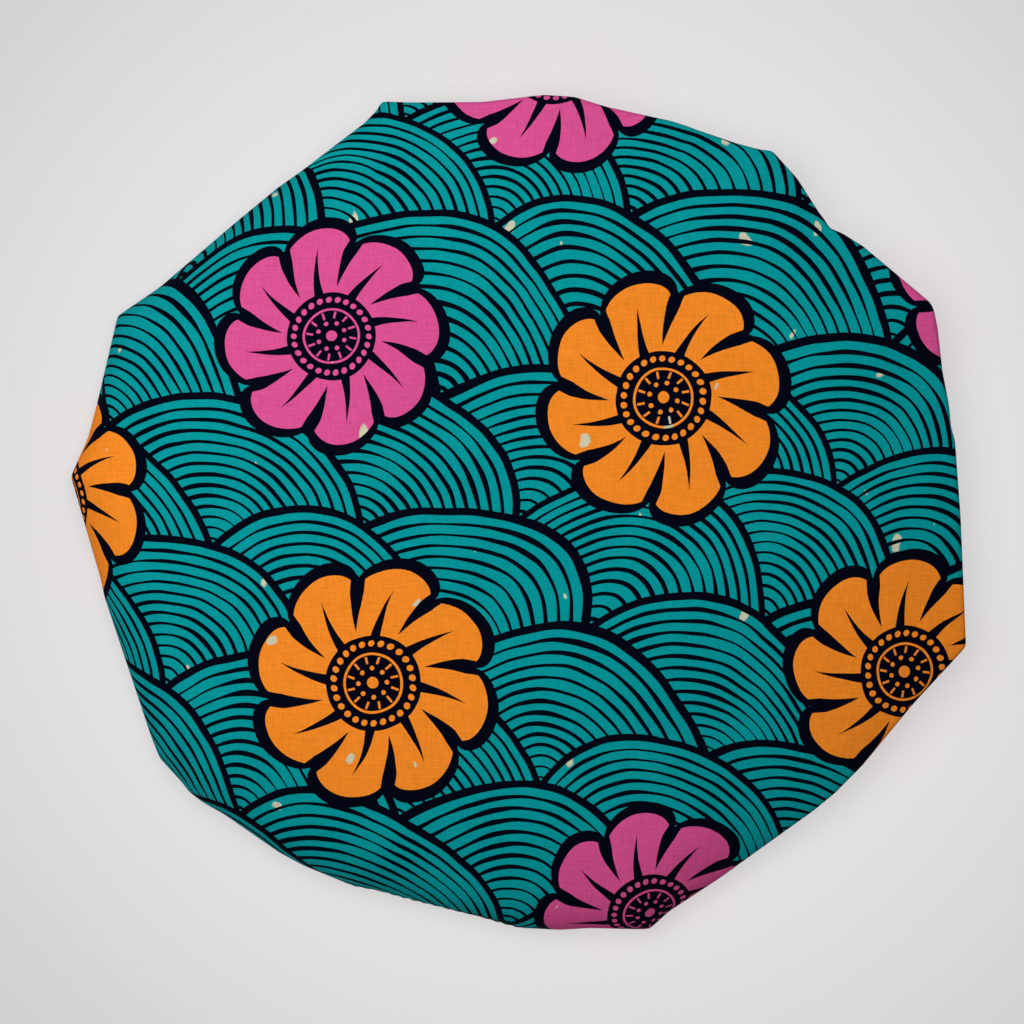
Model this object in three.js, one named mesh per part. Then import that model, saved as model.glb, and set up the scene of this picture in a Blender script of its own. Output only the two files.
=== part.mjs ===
// A satin-lined hair bonnet as it lies on a table, crown up.
// A round cut of printed cotton and one of satin lie ply on ply. Their shared edge is gathered underneath into a
// folded casing strip, and the elastic band inside that strip draws it in to a round mouth for the head.
// Millimetres, +Z up. The origin is on the table, under the middle of the outline.
import * as THREE from "three";

// The bonnet as it lies
const FLAT_WIDTH = 350; // across the outline, along X
const CROWN_HEIGHT = 34; // highest cloth above the table
const CROWN_SAG = 4; // dip of the crown over the open mouth
const RIM_HEIGHT = 9; // where the rim stands out furthest, above the table
const RIM_TUCK = 9; // from the rim in to where its roll meets the table
const REST_WIDTH = 22; // ring of cloth that lies flat on the table

// Cloth, thread and the air between them
const SHELL_CLOTH = 0.5;
const LINING_CLOTH = 0.4;
const CASING_CLOTH = 0.5;
const PLY_GAP = 0.4; // between the printed cotton and the satin
const SEWN_GAP = 0.3; // between pieces that are sewn together or lie on each other
const THREAD_THICKNESS = 0.5;

// Mouth, casing and elastic
const MOUTH_DIAMETER = 140; // inside the fold of the casing strip
const CASING_LIFT = 8.2; // height of the elastic's middle above the table
const ELASTIC_WIDTH = 6.4;
const ELASTIC_THICKNESS = 1;
const ELASTIC_LAP = 20; // overlap of the elastic's two ends
const ELASTIC_RAMP = 9; // length over which the upper end climbs on to the lower one
const CHANNEL_PLAY = 1.1; // room beside the elastic, towards the mouth and away from it
const CHANNEL_NECK = 4; // from the elastic's channel to the raw edge of the two plies
const SEAM_WIDTH = 6; // how far the strip's two flanges hold the plies
const PUFF_DOWN = 2.7; // how much lower the channel's lower wall puffs out between gathers
const PUFF_UP = 2; // how much higher its upper wall puffs out on a gather
const STITCH_INSET = 1.3; // from a flange's edge, or the plies' raw edge, to its row of stitches

// Gathers of the two plies
const SEAM_GATHER_LOW = 3; // valley and crest of the shell's outer face where it is sewn
const SEAM_GATHER_HIGH = 11;
const INNER_GATHER_LOW = 0.8; // the same nearest the mouth, where the folds are deepest
const INNER_GATHER_HIGH = 13;
const OUTER_GATHER_HIGH = 7; // crest further out, where the folds have joined two by two

// Zigzag that joins the elastic's ends
const ZIGZAG_LENGTH = 14;
const ZIGZAG_LEGS = 8;
const ZIGZAG_MARGIN = 1; // from the elastic's edges to the middle of the thread at its turns

// Outline of the rim, corner by corner and anticlockwise, as shares of FLAT_WIDTH from the middle
const RIM_CORNER_SHARES = [
  [0.5, -0.149], [0.494, -0.031], [0.488, 0.079], [0.461, 0.234], [0.35, 0.315], [0.283, 0.403],
  [0.17, 0.437], [0.063, 0.466], [-0.043, 0.46], [-0.15, 0.459], [-0.27, 0.363], [-0.356, 0.289],
  [-0.446, 0.222], [-0.5, 0.036], [-0.463, -0.093], [-0.432, -0.185], [-0.382, -0.298], [-0.269, -0.38],
  [-0.132, -0.429], [0.009, -0.466], [0.147, -0.463], [0.25, -0.392], [0.354, -0.313], [0.442, -0.213],
];
const SIDES = RIM_CORNER_SHARES.length;
const MOUTH_POINTS = 3 * SIDES; // alternately in a gather's valley and on its crest

// Where the crown's rings of points lie, as shares of the way to the rim
const MIDDLE_RING_SHARE = 0.42;
const OUTER_RING_SHARES = [0.68, 0.84, 0.93, 0.98];
// Where the rings of the roll under the rim lie, as shares of the way from the rim to the resting ring
const ROLL_RING_SHARES = [0, 0.12, 0.45, 1];
const DOME_POWER = 6; // the higher, the flatter the crown and the rounder its shoulder
// How far the folds' rings lie from the resting ring towards the casing
const OUTER_GATHER_SHARE = 0.4;
const INNER_GATHER_SHARE = 0.75;
// Heights across one fold, as shares of its crest: where two folds have joined, and where they are about to
const JOINED_FOLD_SHARES = [0, 0.6, 1, 0.6];
const JOINING_FOLD_SHARES = [0, 1, 0.65, 1];

// Radii of the casing, from the mouth outwards
const MOUTH_RADIUS = MOUTH_DIAMETER / 2;
const ELASTIC_INNER_RADIUS = MOUTH_RADIUS + CASING_CLOTH + CHANNEL_PLAY;
const ELASTIC_OUTER_RADIUS = ELASTIC_INNER_RADIUS + ELASTIC_WIDTH;
const CHANNEL_RADIUS = ELASTIC_OUTER_RADIUS + CHANNEL_PLAY;
const PLY_EDGE_RADIUS = CHANNEL_RADIUS + CHANNEL_NECK;
const FLANGE_RADIUS = PLY_EDGE_RADIUS + SEAM_WIDTH;

// The elastic's lap
const ELASTIC_MIDDLE_RADIUS = (ELASTIC_INNER_RADIUS + ELASTIC_OUTER_RADIUS) / 2;
const LAP_TURN = ELASTIC_LAP / ELASTIC_MIDDLE_RADIUS;
const RAMP_TURN = ELASTIC_RAMP / ELASTIC_MIDDLE_RADIUS;
const LAP_CLIMB = ELASTIC_THICKNESS + SEWN_GAP;

// Depths of each face below the shell's outer face
const SHELL_INSIDE = SHELL_CLOTH;
const LINING_OUTSIDE = SHELL_INSIDE + PLY_GAP;
const LINING_INSIDE = LINING_OUTSIDE + LINING_CLOTH;

const mix = THREE.MathUtils.lerp;

// A point of the rim at a share of the way round, and the angle of the mouth's point that it gathers to.
function rimPoint(round) {
  const along = round * SIDES;
  const side = Math.floor(along) % SIDES;
  const [start, end] = [RIM_CORNER_SHARES[side], RIM_CORNER_SHARES[(side + 1) % SIDES]];
  const share = along - Math.floor(along);
  return new THREE.Vector2(mix(start[0], end[0], share), mix(start[1], end[1], share)).multiplyScalar(FLAT_WIDTH);
}

function mouthPoint(round, radius) {
  const start = rimPoint(0).angle();
  return new THREE.Vector2(radius, 0).rotateAround(new THREE.Vector2(), start + round * 2 * Math.PI);
}

// A ring of points: place gives each point's plan, and height its height from the point's number.
function ring(count, place, height) {
  return Array.from({ length: count }, (_, i) => {
    const plan = place(i / count);
    return new THREE.Vector3(plan.x, plan.y, height(i));
  });
}

// Height of the crown at a share of the way to the rim: a flat dome with a sag in its middle.
function crownHeight(share) {
  const dome = mix(RIM_HEIGHT, CROWN_HEIGHT, Math.sqrt(1 - share ** DOME_POWER));
  const sag = share < MIDDLE_RING_SHARE ? CROWN_SAG * (1 - (share / MIDDLE_RING_SHARE) ** 2) : 0;
  return dome - sag;
}

const crownRing = (count, share) =>
  ring(count, (round) => rimPoint(round).multiplyScalar(share), () => crownHeight(share));

// A point of the rim moved in towards the middle.
function tucked(round, inset) {
  const plan = rimPoint(round);
  return plan.setLength(plan.length() - inset);
}

// The rim rolls under along a quarter of an ellipse, from its height down to the table.
const rollRing = (share) =>
  ring(
    SIDES,
    (round) => tucked(round, share * RIM_TUCK),
    () => RIM_HEIGHT * (1 - Math.sqrt(1 - (1 - share) ** 2)),
  );

// The plan of a point between the resting ring and the casing's flange.
const GATHERS_START = RIM_TUCK + REST_WIDTH;
const gatheredPlan = (round, share) => tucked(round, GATHERS_START).lerp(mouthPoint(round, FLANGE_RADIUS), share);

const isCrest = (i) => i % 2;
const seamHeight = (i) => (isCrest(i) ? SEAM_GATHER_HIGH : SEAM_GATHER_LOW);
const outerHeight = (i) => OUTER_GATHER_HIGH * JOINED_FOLD_SHARES[i % JOINED_FOLD_SHARES.length];
const innerHeight = (i) =>
  mix(INNER_GATHER_LOW, INNER_GATHER_HIGH, JOINING_FOLD_SHARES[i % JOINING_FOLD_SHARES.length]);

// The shell's outer face from the crown's middle, over the rim and in underneath to the raw edge.
const SHELL_RINGS = [
  [new THREE.Vector3(0, 0, crownHeight(0))],
  crownRing(SIDES, MIDDLE_RING_SHARE),
  ...OUTER_RING_SHARES.map((share) => crownRing(SIDES, share)),
  ...ROLL_RING_SHARES.map(rollRing),
  ring(SIDES, (round) => tucked(round, GATHERS_START), () => 0),
  ring(MOUTH_POINTS, (round) => gatheredPlan(round, OUTER_GATHER_SHARE), outerHeight),
  ring(MOUTH_POINTS, (round) => gatheredPlan(round, INNER_GATHER_SHARE), innerHeight),
  ring(MOUTH_POINTS, (round) => mouthPoint(round, FLANGE_RADIUS), seamHeight),
  ring(MOUTH_POINTS, (round) => mouthPoint(round, PLY_EDGE_RADIUS), seamHeight),
];

// Triangles between neighbouring rings, where the next ring has as many points or a whole number of times as many.
function bridge(inner, outer, innerStart, outerStart) {
  const triangles = [];
  const times = outer / inner;
  for (let i = 0; i < outer; i++) {
    const [a, b] = [outerStart + i, outerStart + ((i + 1) % outer)];
    const near = innerStart + (Math.floor((i + 1) / times) % inner);
    triangles.push(near, a, b);
    const last = innerStart + (Math.floor(i / times) % inner);
    if (last !== near) triangles.push(last, a, near);
  }
  return triangles;
}

function skin(rings) {
  const triangles = [];
  let start = 0;
  for (let k = 1; k < rings.length; k++) {
    const next = start + rings[k - 1].length;
    triangles.push(...bridge(rings[k - 1].length, rings[k].length, start, next));
    start = next;
  }
  return { points: rings.flat(), triangles };
}

// For each point of a face, how it moves as the face is moved in by one millimetre: against its normal, or straight
// up in the seam. It moves further where the faces round it slope away from that way, so that each of them moves by
// that much.
function inwards({ points, triangles }) {
  const faces = [];
  for (let i = 0; i < triangles.length; i += 3) {
    const corners = triangles.slice(i, i + 3);
    const face = new THREE.Triangle(...corners.map((c) => points[c]));
    faces.push({ corners, normal: face.getNormal(new THREE.Vector3()), area: face.getArea() });
  }
  const ways = points.map(() => new THREE.Vector3());
  faces.forEach(({ corners, normal, area }) => corners.forEach((c) => ways[c].addScaledVector(normal, -area)));
  const seamStart = points.length - 2 * MOUTH_POINTS;
  ways.forEach((way, c) => (c < seamStart ? way.normalize() : way.set(0, 0, 1)));
  const moves = points.map(() => ({ moved: 0, area: 0 }));
  faces.forEach(({ corners, normal, area }) =>
    corners.forEach((c) => {
      moves[c].moved -= area * normal.dot(ways[c]);
      moves[c].area += area;
    }),
  );
  return ways.map((way, c) => way.multiplyScalar(moves[c].area / moves[c].moved));
}

const SHELL_FACE = skin(SHELL_RINGS);
const SHELL_INWARDS = inwards(SHELL_FACE);
const faceAt = (depth) => SHELL_FACE.points.map((p, i) => p.clone().addScaledVector(SHELL_INWARDS[i], depth));

function geometryOf(points, triangles) {
  const geometry = new THREE.BufferGeometry().setFromPoints(points);
  geometry.setIndex(triangles);
  return geometry;
}

// A ply of cloth between two depths: both faces, and a strip round its raw edge.
function ply(outside, inside) {
  const count = SHELL_FACE.points.length;
  const { triangles } = SHELL_FACE;
  const back = triangles.map((_, i) => triangles[i - (i % 3) + 2 - (i % 3)] + count);
  const edge = [];
  for (let i = 0; i < MOUTH_POINTS; i++) {
    const [a, b] = [count - MOUTH_POINTS + i, count - MOUTH_POINTS + ((i + 1) % MOUTH_POINTS)];
    edge.push(a, a + count, b, b, a + count, b + count);
  }
  return geometryOf([...faceAt(outside), ...faceAt(inside)], [...triangles, ...back, ...edge]);
}

// The wall between neighbouring sections of a body swept anticlockwise round the mouth. Each section is a closed
// loop of points, which climbs on its outer side. The last section joins the first where the sweep is closed.
function sweptWall(sections, closed) {
  const size = sections[0].length;
  const spans = closed ? sections.length : sections.length - 1;
  const triangles = [];
  for (let i = 0; i < spans; i++) {
    const [here, next] = [i * size, ((i + 1) % sections.length) * size];
    for (let k = 0; k < size; k++) {
      const l = (k + 1) % size;
      triangles.push(here + k, next + k, next + l, here + k, next + l, here + l);
    }
  }
  return triangles;
}

// A body swept once round the mouth: section gives the loop at each of the mouth's points.
function sweptRing(section) {
  const sections = Array.from({ length: MOUTH_POINTS }, (_, i) => section(i));
  return geometryOf(sections.flat(), sweptWall(sections, true));
}

// The sewn zone at one of the mouth's points: the place at a share of the seam's width from the flange's edge,
// at a depth below the shell's outer face.
function seamPoint(i, share, depth) {
  const edge = SHELL_FACE.points.length - MOUTH_POINTS + i;
  const flange = edge - MOUTH_POINTS;
  const [from, to] = [flange, edge].map((c) => SHELL_FACE.points[c].clone().addScaledVector(SHELL_INWARDS[c], depth));
  return from.lerp(to, share);
}

// A point of the casing at a radius and a height above the elastic's middle.
function casingPoint(i, radius, height) {
  const plan = mouthPoint(i / MOUTH_POINTS, radius);
  return new THREE.Vector3(plan.x, plan.y, CASING_LIFT + height);
}

// The strip's section: the upper flange inside the satin, the channel's upper wall, the fold at the mouth, the
// channel's lower wall and the lower flange under the shell. Outwards is the distance from the strip's inner face.
function casingFace(i, outwards) {
  const [under, over] = [-SEWN_GAP - outwards, LINING_INSIDE + SEWN_GAP + outwards];
  const floor = -ELASTIC_THICKNESS / 2 - SEWN_GAP - outwards;
  const roof = ELASTIC_THICKNESS / 2 + LAP_CLIMB + SEWN_GAP + THREAD_THICKNESS + SEWN_GAP + outwards;
  const fold = MOUTH_RADIUS + CASING_CLOTH - outwards;
  return [
    seamPoint(i, 0, over),
    seamPoint(i, 1, over),
    casingPoint(i, CHANNEL_RADIUS, roof + (isCrest(i) ? PUFF_UP : 0)),
    casingPoint(i, fold, roof),
    casingPoint(i, fold, floor),
    casingPoint(i, CHANNEL_RADIUS, floor - (isCrest(i) ? 0 : PUFF_DOWN)),
    seamPoint(i, 1, under),
    seamPoint(i, 0, under),
  ];
}

const casingStrip = () => sweptRing((i) => [...casingFace(i, CASING_CLOTH), ...casingFace(i, 0).reverse()]);

// A row's needle thread lies on the strip's lower flange and its bobbin thread on the upper one.
function rowThread(share, depth) {
  const half = THREAD_THICKNESS / 2;
  return sweptRing((i) => {
    const middle = seamPoint(i, share, depth);
    const out = new THREE.Vector3(middle.x, middle.y, 0).setLength(half);
    const up = new THREE.Vector3(0, 0, half);
    return [out, up, out.clone().negate(), up.clone().negate()].map((way) => way.add(middle));
  });
}

// The elastic runs once round and laps over its own start, on to which it climbs along a short ramp.
const elasticClimb = (turn) => LAP_CLIMB * THREE.MathUtils.smoothstep(turn, 2 * Math.PI - RAMP_TURN, 2 * Math.PI);

function elasticBand() {
  const half = ELASTIC_THICKNESS / 2;
  const sections = Array.from({ length: MOUTH_POINTS + 1 }, (_, i) => {
    const turn = (i / MOUTH_POINTS) * (2 * Math.PI + LAP_TURN);
    const middle = CASING_LIFT + elasticClimb(turn);
    const at = (radius, z) => new THREE.Vector3(radius * Math.cos(turn), radius * Math.sin(turn), z);
    return [
      at(ELASTIC_OUTER_RADIUS, middle - half),
      at(ELASTIC_OUTER_RADIUS, middle + half),
      at(ELASTIC_INNER_RADIUS, middle + half),
      at(ELASTIC_INNER_RADIUS, middle - half),
    ];
  });
  const end = 4 * MOUTH_POINTS;
  const ends = [0, 1, 2, 0, 2, 3, end, end + 2, end + 1, end, end + 3, end + 2];
  return geometryOf(sections.flat(), [...sweptWall(sections, false), ...ends]);
}

// A flat zigzag along Y that lies on the lap. Its outline is the thread's line moved half a thread to each side,
// measured square to the legs.
function zigzagThread() {
  const reach = ELASTIC_WIDTH / 2 - ZIGZAG_MARGIN;
  const step = ZIGZAG_LENGTH / ZIGZAG_LEGS;
  const spread = (THREAD_THICKNESS / 2) * (Math.hypot(2 * reach, step) / step);
  const line = (shift) =>
    Array.from(
      { length: ZIGZAG_LEGS + 1 },
      (_, i) => new THREE.Vector2((i % 2 ? reach : -reach) + shift, i * step - ZIGZAG_LENGTH / 2),
    );
  const shape = new THREE.Shape([...line(spread), ...line(-spread).reverse()]);
  return new THREE.ExtrudeGeometry(shape, { depth: THREAD_THICKNESS, bevelEnabled: false });
}

// Finishes
const printedCotton = { color: 0x07969b, roughness: 0.85, metalness: 0 };
const blackSatin = { color: 0x17171a, roughness: 0.35, metalness: 0 };
const whiteElastic = { color: 0xe9e7e1, roughness: 0.8, metalness: 0 };
const blackThread = { color: 0x0c0d12, roughness: 0.7, metalness: 0 };

const bonnet = new THREE.Group();
function add(name, geometry, finish) {
  const mesh = new THREE.Mesh(geometry, new THREE.MeshStandardMaterial(finish));
  mesh.name = name;
  bonnet.add(mesh);
  return mesh;
}

add("outer_shell", ply(0, SHELL_INSIDE), printedCotton);
add("satin_lining", ply(LINING_OUTSIDE, LINING_INSIDE), blackSatin);
add("casing_strip", casingStrip(), printedCotton);
add("elastic_band", elasticBand(), whiteElastic);

const threadLift = SEWN_GAP + THREAD_THICKNESS / 2;
const needleDepth = -SEWN_GAP - CASING_CLOTH - threadLift;
const bobbinDepth = LINING_INSIDE + SEWN_GAP + CASING_CLOTH + threadLift;
const edgeRowShare = STITCH_INSET / SEAM_WIDTH;
const rows = [
  ["edge_row", edgeRowShare],
  ["channel_row", 1 - edgeRowShare],
];
for (const [row, share] of rows) {
  add(`${row}_needle_thread`, rowThread(share, needleDepth), blackThread);
  add(`${row}_bobbin_thread`, rowThread(share, bobbinDepth), blackThread);
}

const zigzag = add("elastic_join_thread", zigzagThread(), blackThread);
const lapMiddle = LAP_TURN / 2;
zigzag.position.set(
  ELASTIC_MIDDLE_RADIUS * Math.cos(lapMiddle),
  ELASTIC_MIDDLE_RADIUS * Math.sin(lapMiddle),
  CASING_LIFT + LAP_CLIMB + ELASTIC_THICKNESS / 2 + SEWN_GAP,
);
zigzag.rotation.z = lapMiddle;

export default bonnet;
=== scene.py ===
"""A hair bonnet of printed cotton with a satin lining, lying crown up on a pale floor.

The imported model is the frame. Every piece here stands for one of its soft or sewn solids and is a surface
worked out with numpy: rings round the bonnet's middle, or a profile carried round the mouth. All sizes are in
metres, but the printed pattern's, which are in millimetres on the flat cut.
"""

import logging
import math
from dataclasses import dataclass, field
from enum import Enum
from typing import Any, Sequence

import bpy
import numpy as np
from numpy.typing import NDArray
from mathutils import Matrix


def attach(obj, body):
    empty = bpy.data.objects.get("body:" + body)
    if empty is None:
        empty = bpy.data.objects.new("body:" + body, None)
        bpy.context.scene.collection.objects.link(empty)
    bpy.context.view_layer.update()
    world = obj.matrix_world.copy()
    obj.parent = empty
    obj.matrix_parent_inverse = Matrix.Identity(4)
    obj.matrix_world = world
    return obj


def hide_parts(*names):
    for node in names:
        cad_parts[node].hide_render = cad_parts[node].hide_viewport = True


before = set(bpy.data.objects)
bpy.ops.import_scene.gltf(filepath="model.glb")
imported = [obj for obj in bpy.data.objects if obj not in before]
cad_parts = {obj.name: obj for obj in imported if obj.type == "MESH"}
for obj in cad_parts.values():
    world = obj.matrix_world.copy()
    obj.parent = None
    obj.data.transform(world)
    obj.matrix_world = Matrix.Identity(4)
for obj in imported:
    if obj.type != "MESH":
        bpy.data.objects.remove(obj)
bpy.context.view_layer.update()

Array = NDArray[np.float64]
Piece = bpy.types.Object
Material = bpy.types.Material
Socket = bpy.types.NodeSocket
Faces = Sequence[Sequence[int]]

TURN = 2 * math.pi
QUARTER = math.pi / 2
COLUMNS = 864  # points round the rim, and 12 on each of the folds at the casing
COLUMN_ANGLES: Array = np.arange(COLUMNS) * TURN / COLUMNS
CUT_RADIUS = 0.28  # of the round cuts of cotton and satin
CUT_SIDE = 2 * CUT_RADIUS
BAKED_MAP = "OFBake"  # the UV map that holds each cloth's flat cut, in the square round the round cut

log = logging.getLogger("bonnet")


class Slot(Enum):
    """The record's material slots."""

    COTTON = "printed_cotton"
    SATIN = "black_satin"
    ELASTIC = "knitted_elastic"
    THREAD = "sewing_thread"


def mix(start: Any, end: Any, share: Any) -> Any:
    """Straight blend from start, at a share of 0, to end, at 1."""
    return start + (end - start) * share


def eased(share: Any) -> Any:
    """Smooth step from 0 to 1: 3t squared less 2t cubed, with t held between 0 and 1."""
    held = np.clip(share, 0, 1)
    return held * held * (3 - 2 * held)


def around(radius: Any, angle: Any, height: Any) -> Array:
    """Points at a radius and an angle round the bonnet's middle, and a height, with a last axis of 3."""
    return np.stack([radius * np.cos(angle), radius * np.sin(angle), height], axis=-1)


def blurred(rows: Array, spread: float) -> Array:
    """Blurs closed rows of evenly spaced values with a bell curve.

    Args:
        rows: Values whose last axis runs once round.
        spread: Standard deviation of the bell curve, in values.

    Returns:
        The blurred rows: each wave of k turns is multiplied by exp(-(2 pi k spread / count) squared / 2).
    """
    count = rows.shape[-1]
    waves = np.fft.rfft(rows, axis=-1)
    turns = np.arange(waves.shape[-1])
    return np.fft.irfft(waves * np.exp(-((TURN * turns * spread / count) ** 2) / 2), count, axis=-1)


def ripple(angles: Array, low: int, high: int, seed: int) -> Array:
    """A random closed curve with a standard deviation of about 1.

    Args:
        angles: Angles round the bonnet at which it is read.
        low: Fewest waves in one turn.
        high: Most waves in one turn.
        seed: Seed of its weights and phases.

    Returns:
        The sum of sines of low to high waves a turn, each with a random weight and phase.
    """
    dice = np.random.default_rng(seed)
    waves = np.arange(low, high + 1).reshape(-1, *[1] * np.ndim(angles))
    phases = dice.uniform(0, TURN, waves.shape)
    weights = dice.normal(size=waves.shape)
    scale = math.sqrt(2 / float((weights**2).sum()))
    return scale * (weights * np.sin(waves * angles + phases)).sum(axis=0)


def billows(plan: Array, short: float, long: float, seed: int) -> Array:
    """Random soft billows with a standard deviation of about 1.

    Args:
        plan: Points seen from above, with a last axis of 2.
        short: Shortest wave.
        long: Longest wave.
        seed: Seed of the waves.

    Returns:
        The sum of twelve plane waves, each with a random way, length and phase.
    """
    count = 12
    dice = np.random.default_rng(seed)
    ways, lengths, phases = dice.uniform((0, short, 0), (TURN, long, TURN), (count, 3)).T
    turned = plan @ (np.stack([np.cos(ways), np.sin(ways)]) * TURN / lengths) + phases
    return np.sin(turned).sum(axis=-1) / math.sqrt(count / 2)


@dataclass(frozen=True)
class Outline:
    """The rim seen from above: straight stretches between the corners where gathers pull from below."""

    corners: tuple[tuple[float, float], ...] = (
        (175.2, -52.6), (173.1, -2), (170.9, 28), (169.4, 33.1), (168.5, 42.2), (166, 55), (164.1, 72),
        (162.6, 79.4), (161.2, 82.1), (135, 104), (126.2, 109.2), (121.8, 110.8), (109.3, 130.4),
        (99.4, 141.4), (94.5, 141.9), (85.2, 144.4), (59.9, 153), (33.9, 158.8), (22.1, 162.5), (10, 163.3),
        (-14, 160.5), (-41, 160.3), (-53.3, 160.7), (-55.5, 157), (-60.1, 152.3), (-78.1, 138.2), (-94, 127),
        (-110, 113.8), (-135.7, 91.8), (-139.4, 88.6), (-143.6, 85.6), (-156.6, 76.8), (-165, 41.1),
        (-168.2, 29.1), (-174.9, 14), (-163.3, -25.8), (-161.8, -33), (-143.8, -86.9), (-140.2, -96.1),
        (-131, -106.1), (-129, -109), (-123.4, -113.4), (-115, -118.1), (-93.8, -132.8), (-84.5, -137.9),
        (-74.1, -142.2), (-64.9, -145.9), (-51.5, -149), (-37.9, -152.6), (1, -162.5), (16, -163.3),
        (28, -162.6), (46.8, -163.1), (51.4, -163), (59.1, -156.1), (80.4, -142.1), (87, -137.2),
        (115.5, -116.8), (123.9, -109.9), (134.8, -98.9), (154.7, -74.8),
    )  # millimetres
    rounding: float = 0.0009
    walk: float = 0.0005
    scallop: float = 0.0004
    scallop_degrees: tuple[float, float] = (244.0, 272.0)
    scallop_fade: float = 0.08  # radians over which the scallops set in and die out
    scallop_waves: tuple[int, int] = (105, 150)  # in one turn, two scallops to a wave
    scallop_mean: float = 0.8  # mean size of a ripple

    def scallops(self, angles: Array) -> Array:
        """Lobes 3 to 5 mm long at the bottom, where the gathers push against the rim, less their mean."""
        start, end = np.radians(self.scallop_degrees)
        turned = angles % TURN
        window = eased((turned - start) / self.scallop_fade) * eased((end - turned) / self.scallop_fade)
        return self.scallop * window * (np.abs(ripple(turned, *self.scallop_waves, 9)) - self.scallop_mean)

    def reach(self, angles: Array) -> Array:
        """Distance of the rim from the middle at each angle.

        Args:
            angles: Any angles, in radians.

        Returns:
            The distances. The straight lines between the corners are walked in even steps, both coordinates
            are blurred along the walk, the distance is read off by angle, and the scallops are added.
        """
        points = np.array(self.corners) / 1000
        closed = np.vstack([points, points[:1]])
        walked = np.concatenate([[0], np.cumsum(np.hypot(*np.diff(closed, axis=0).T))])
        count = round(walked[-1] / self.walk)
        steps = np.arange(count) * walked[-1] / count
        line = np.stack([np.interp(steps, walked, closed[:, axis]) for axis in (0, 1)])
        line = blurred(line, self.rounding / self.walk)
        turned = np.unwrap(np.arctan2(line[1], line[0]))
        start = turned[0]
        far = np.interp((angles - start) % TURN, turned - start, np.hypot(*line), period=TURN)
        return far + self.scallops(angles)


@dataclass(frozen=True)
class Crease:
    """A tuck in the crown: the cloth stands proud along a line and drops to the cloth beside it."""

    line: tuple[tuple[float, float], ...]  # metres, from its inner end to just beyond the rim
    height: float
    facing: int = 1  # 1 where the cloth drops to the left of the line, and -1 to the right
    steep: float = 0.0016
    gentle: float = 0.008
    hidden: float = 0.004  # cloth in the tuck, by which the print slips across the line
    slide: float = 0.0  # how far the print also slips along the line
    reach: float = 0.022  # how far from the line the slip dies out
    edge: float = 0.0045  # how far from the line the slip is whole
    onset: float = 0.7  # power of the quarter sine by which the tuck grows from its inner end

    def raise_cloth(self, plan: Array) -> tuple[Array, Array]:
        """How far the crease lifts the crown, and how far it shifts the flat cut.

        Args:
            plan: Points seen from above, with a last axis of 2.

        Returns:
            The lift, which falls off as a bell curve of the distance on either side, and the shift of the
            flat cut, with a last axis of 2. Both grow from nothing at the line's inner end.
        """
        ends = np.array(self.line)
        nearest = np.full(plan.shape[:-1], np.inf)
        lift = np.zeros(plan.shape[:-1])
        shift = np.zeros(plan.shape)
        whole = float(np.linalg.norm(ends[-1] - ends[0]))
        chord = (ends[-1] - ends[0]) / whole
        slip = self.hidden * self.facing * np.array([-chord[1], chord[0]]) + self.slide * chord
        grown = np.clip((plan - ends[0]) @ chord / whole, 0, 1)
        strength = np.sin(QUARTER * grown) ** self.onset
        for start, end in zip(ends[:-1], ends[1:]):
            way = end - start
            length = float(np.hypot(*way))
            way = way / length
            along = np.clip((plan - start) @ way, 0, length)
            off = plan - start - along[..., None] * way
            distance = np.hypot(off[..., 0], off[..., 1])
            beside = self.facing * (way[0] * off[..., 1] - way[1] * off[..., 0])
            width = np.where(beside > 0, self.steep, self.gentle)
            here = distance < nearest
            nearest = np.where(here, distance, nearest)
            lift = np.where(here, self.height * strength * np.exp(-((distance / width) ** 2)), lift)
            moved = strength * eased(beside / self.edge) * np.exp(-((distance / self.reach) ** 2))
            shift = np.where(here[..., None], moved[..., None] * slip, shift)
        return lift, shift


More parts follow.
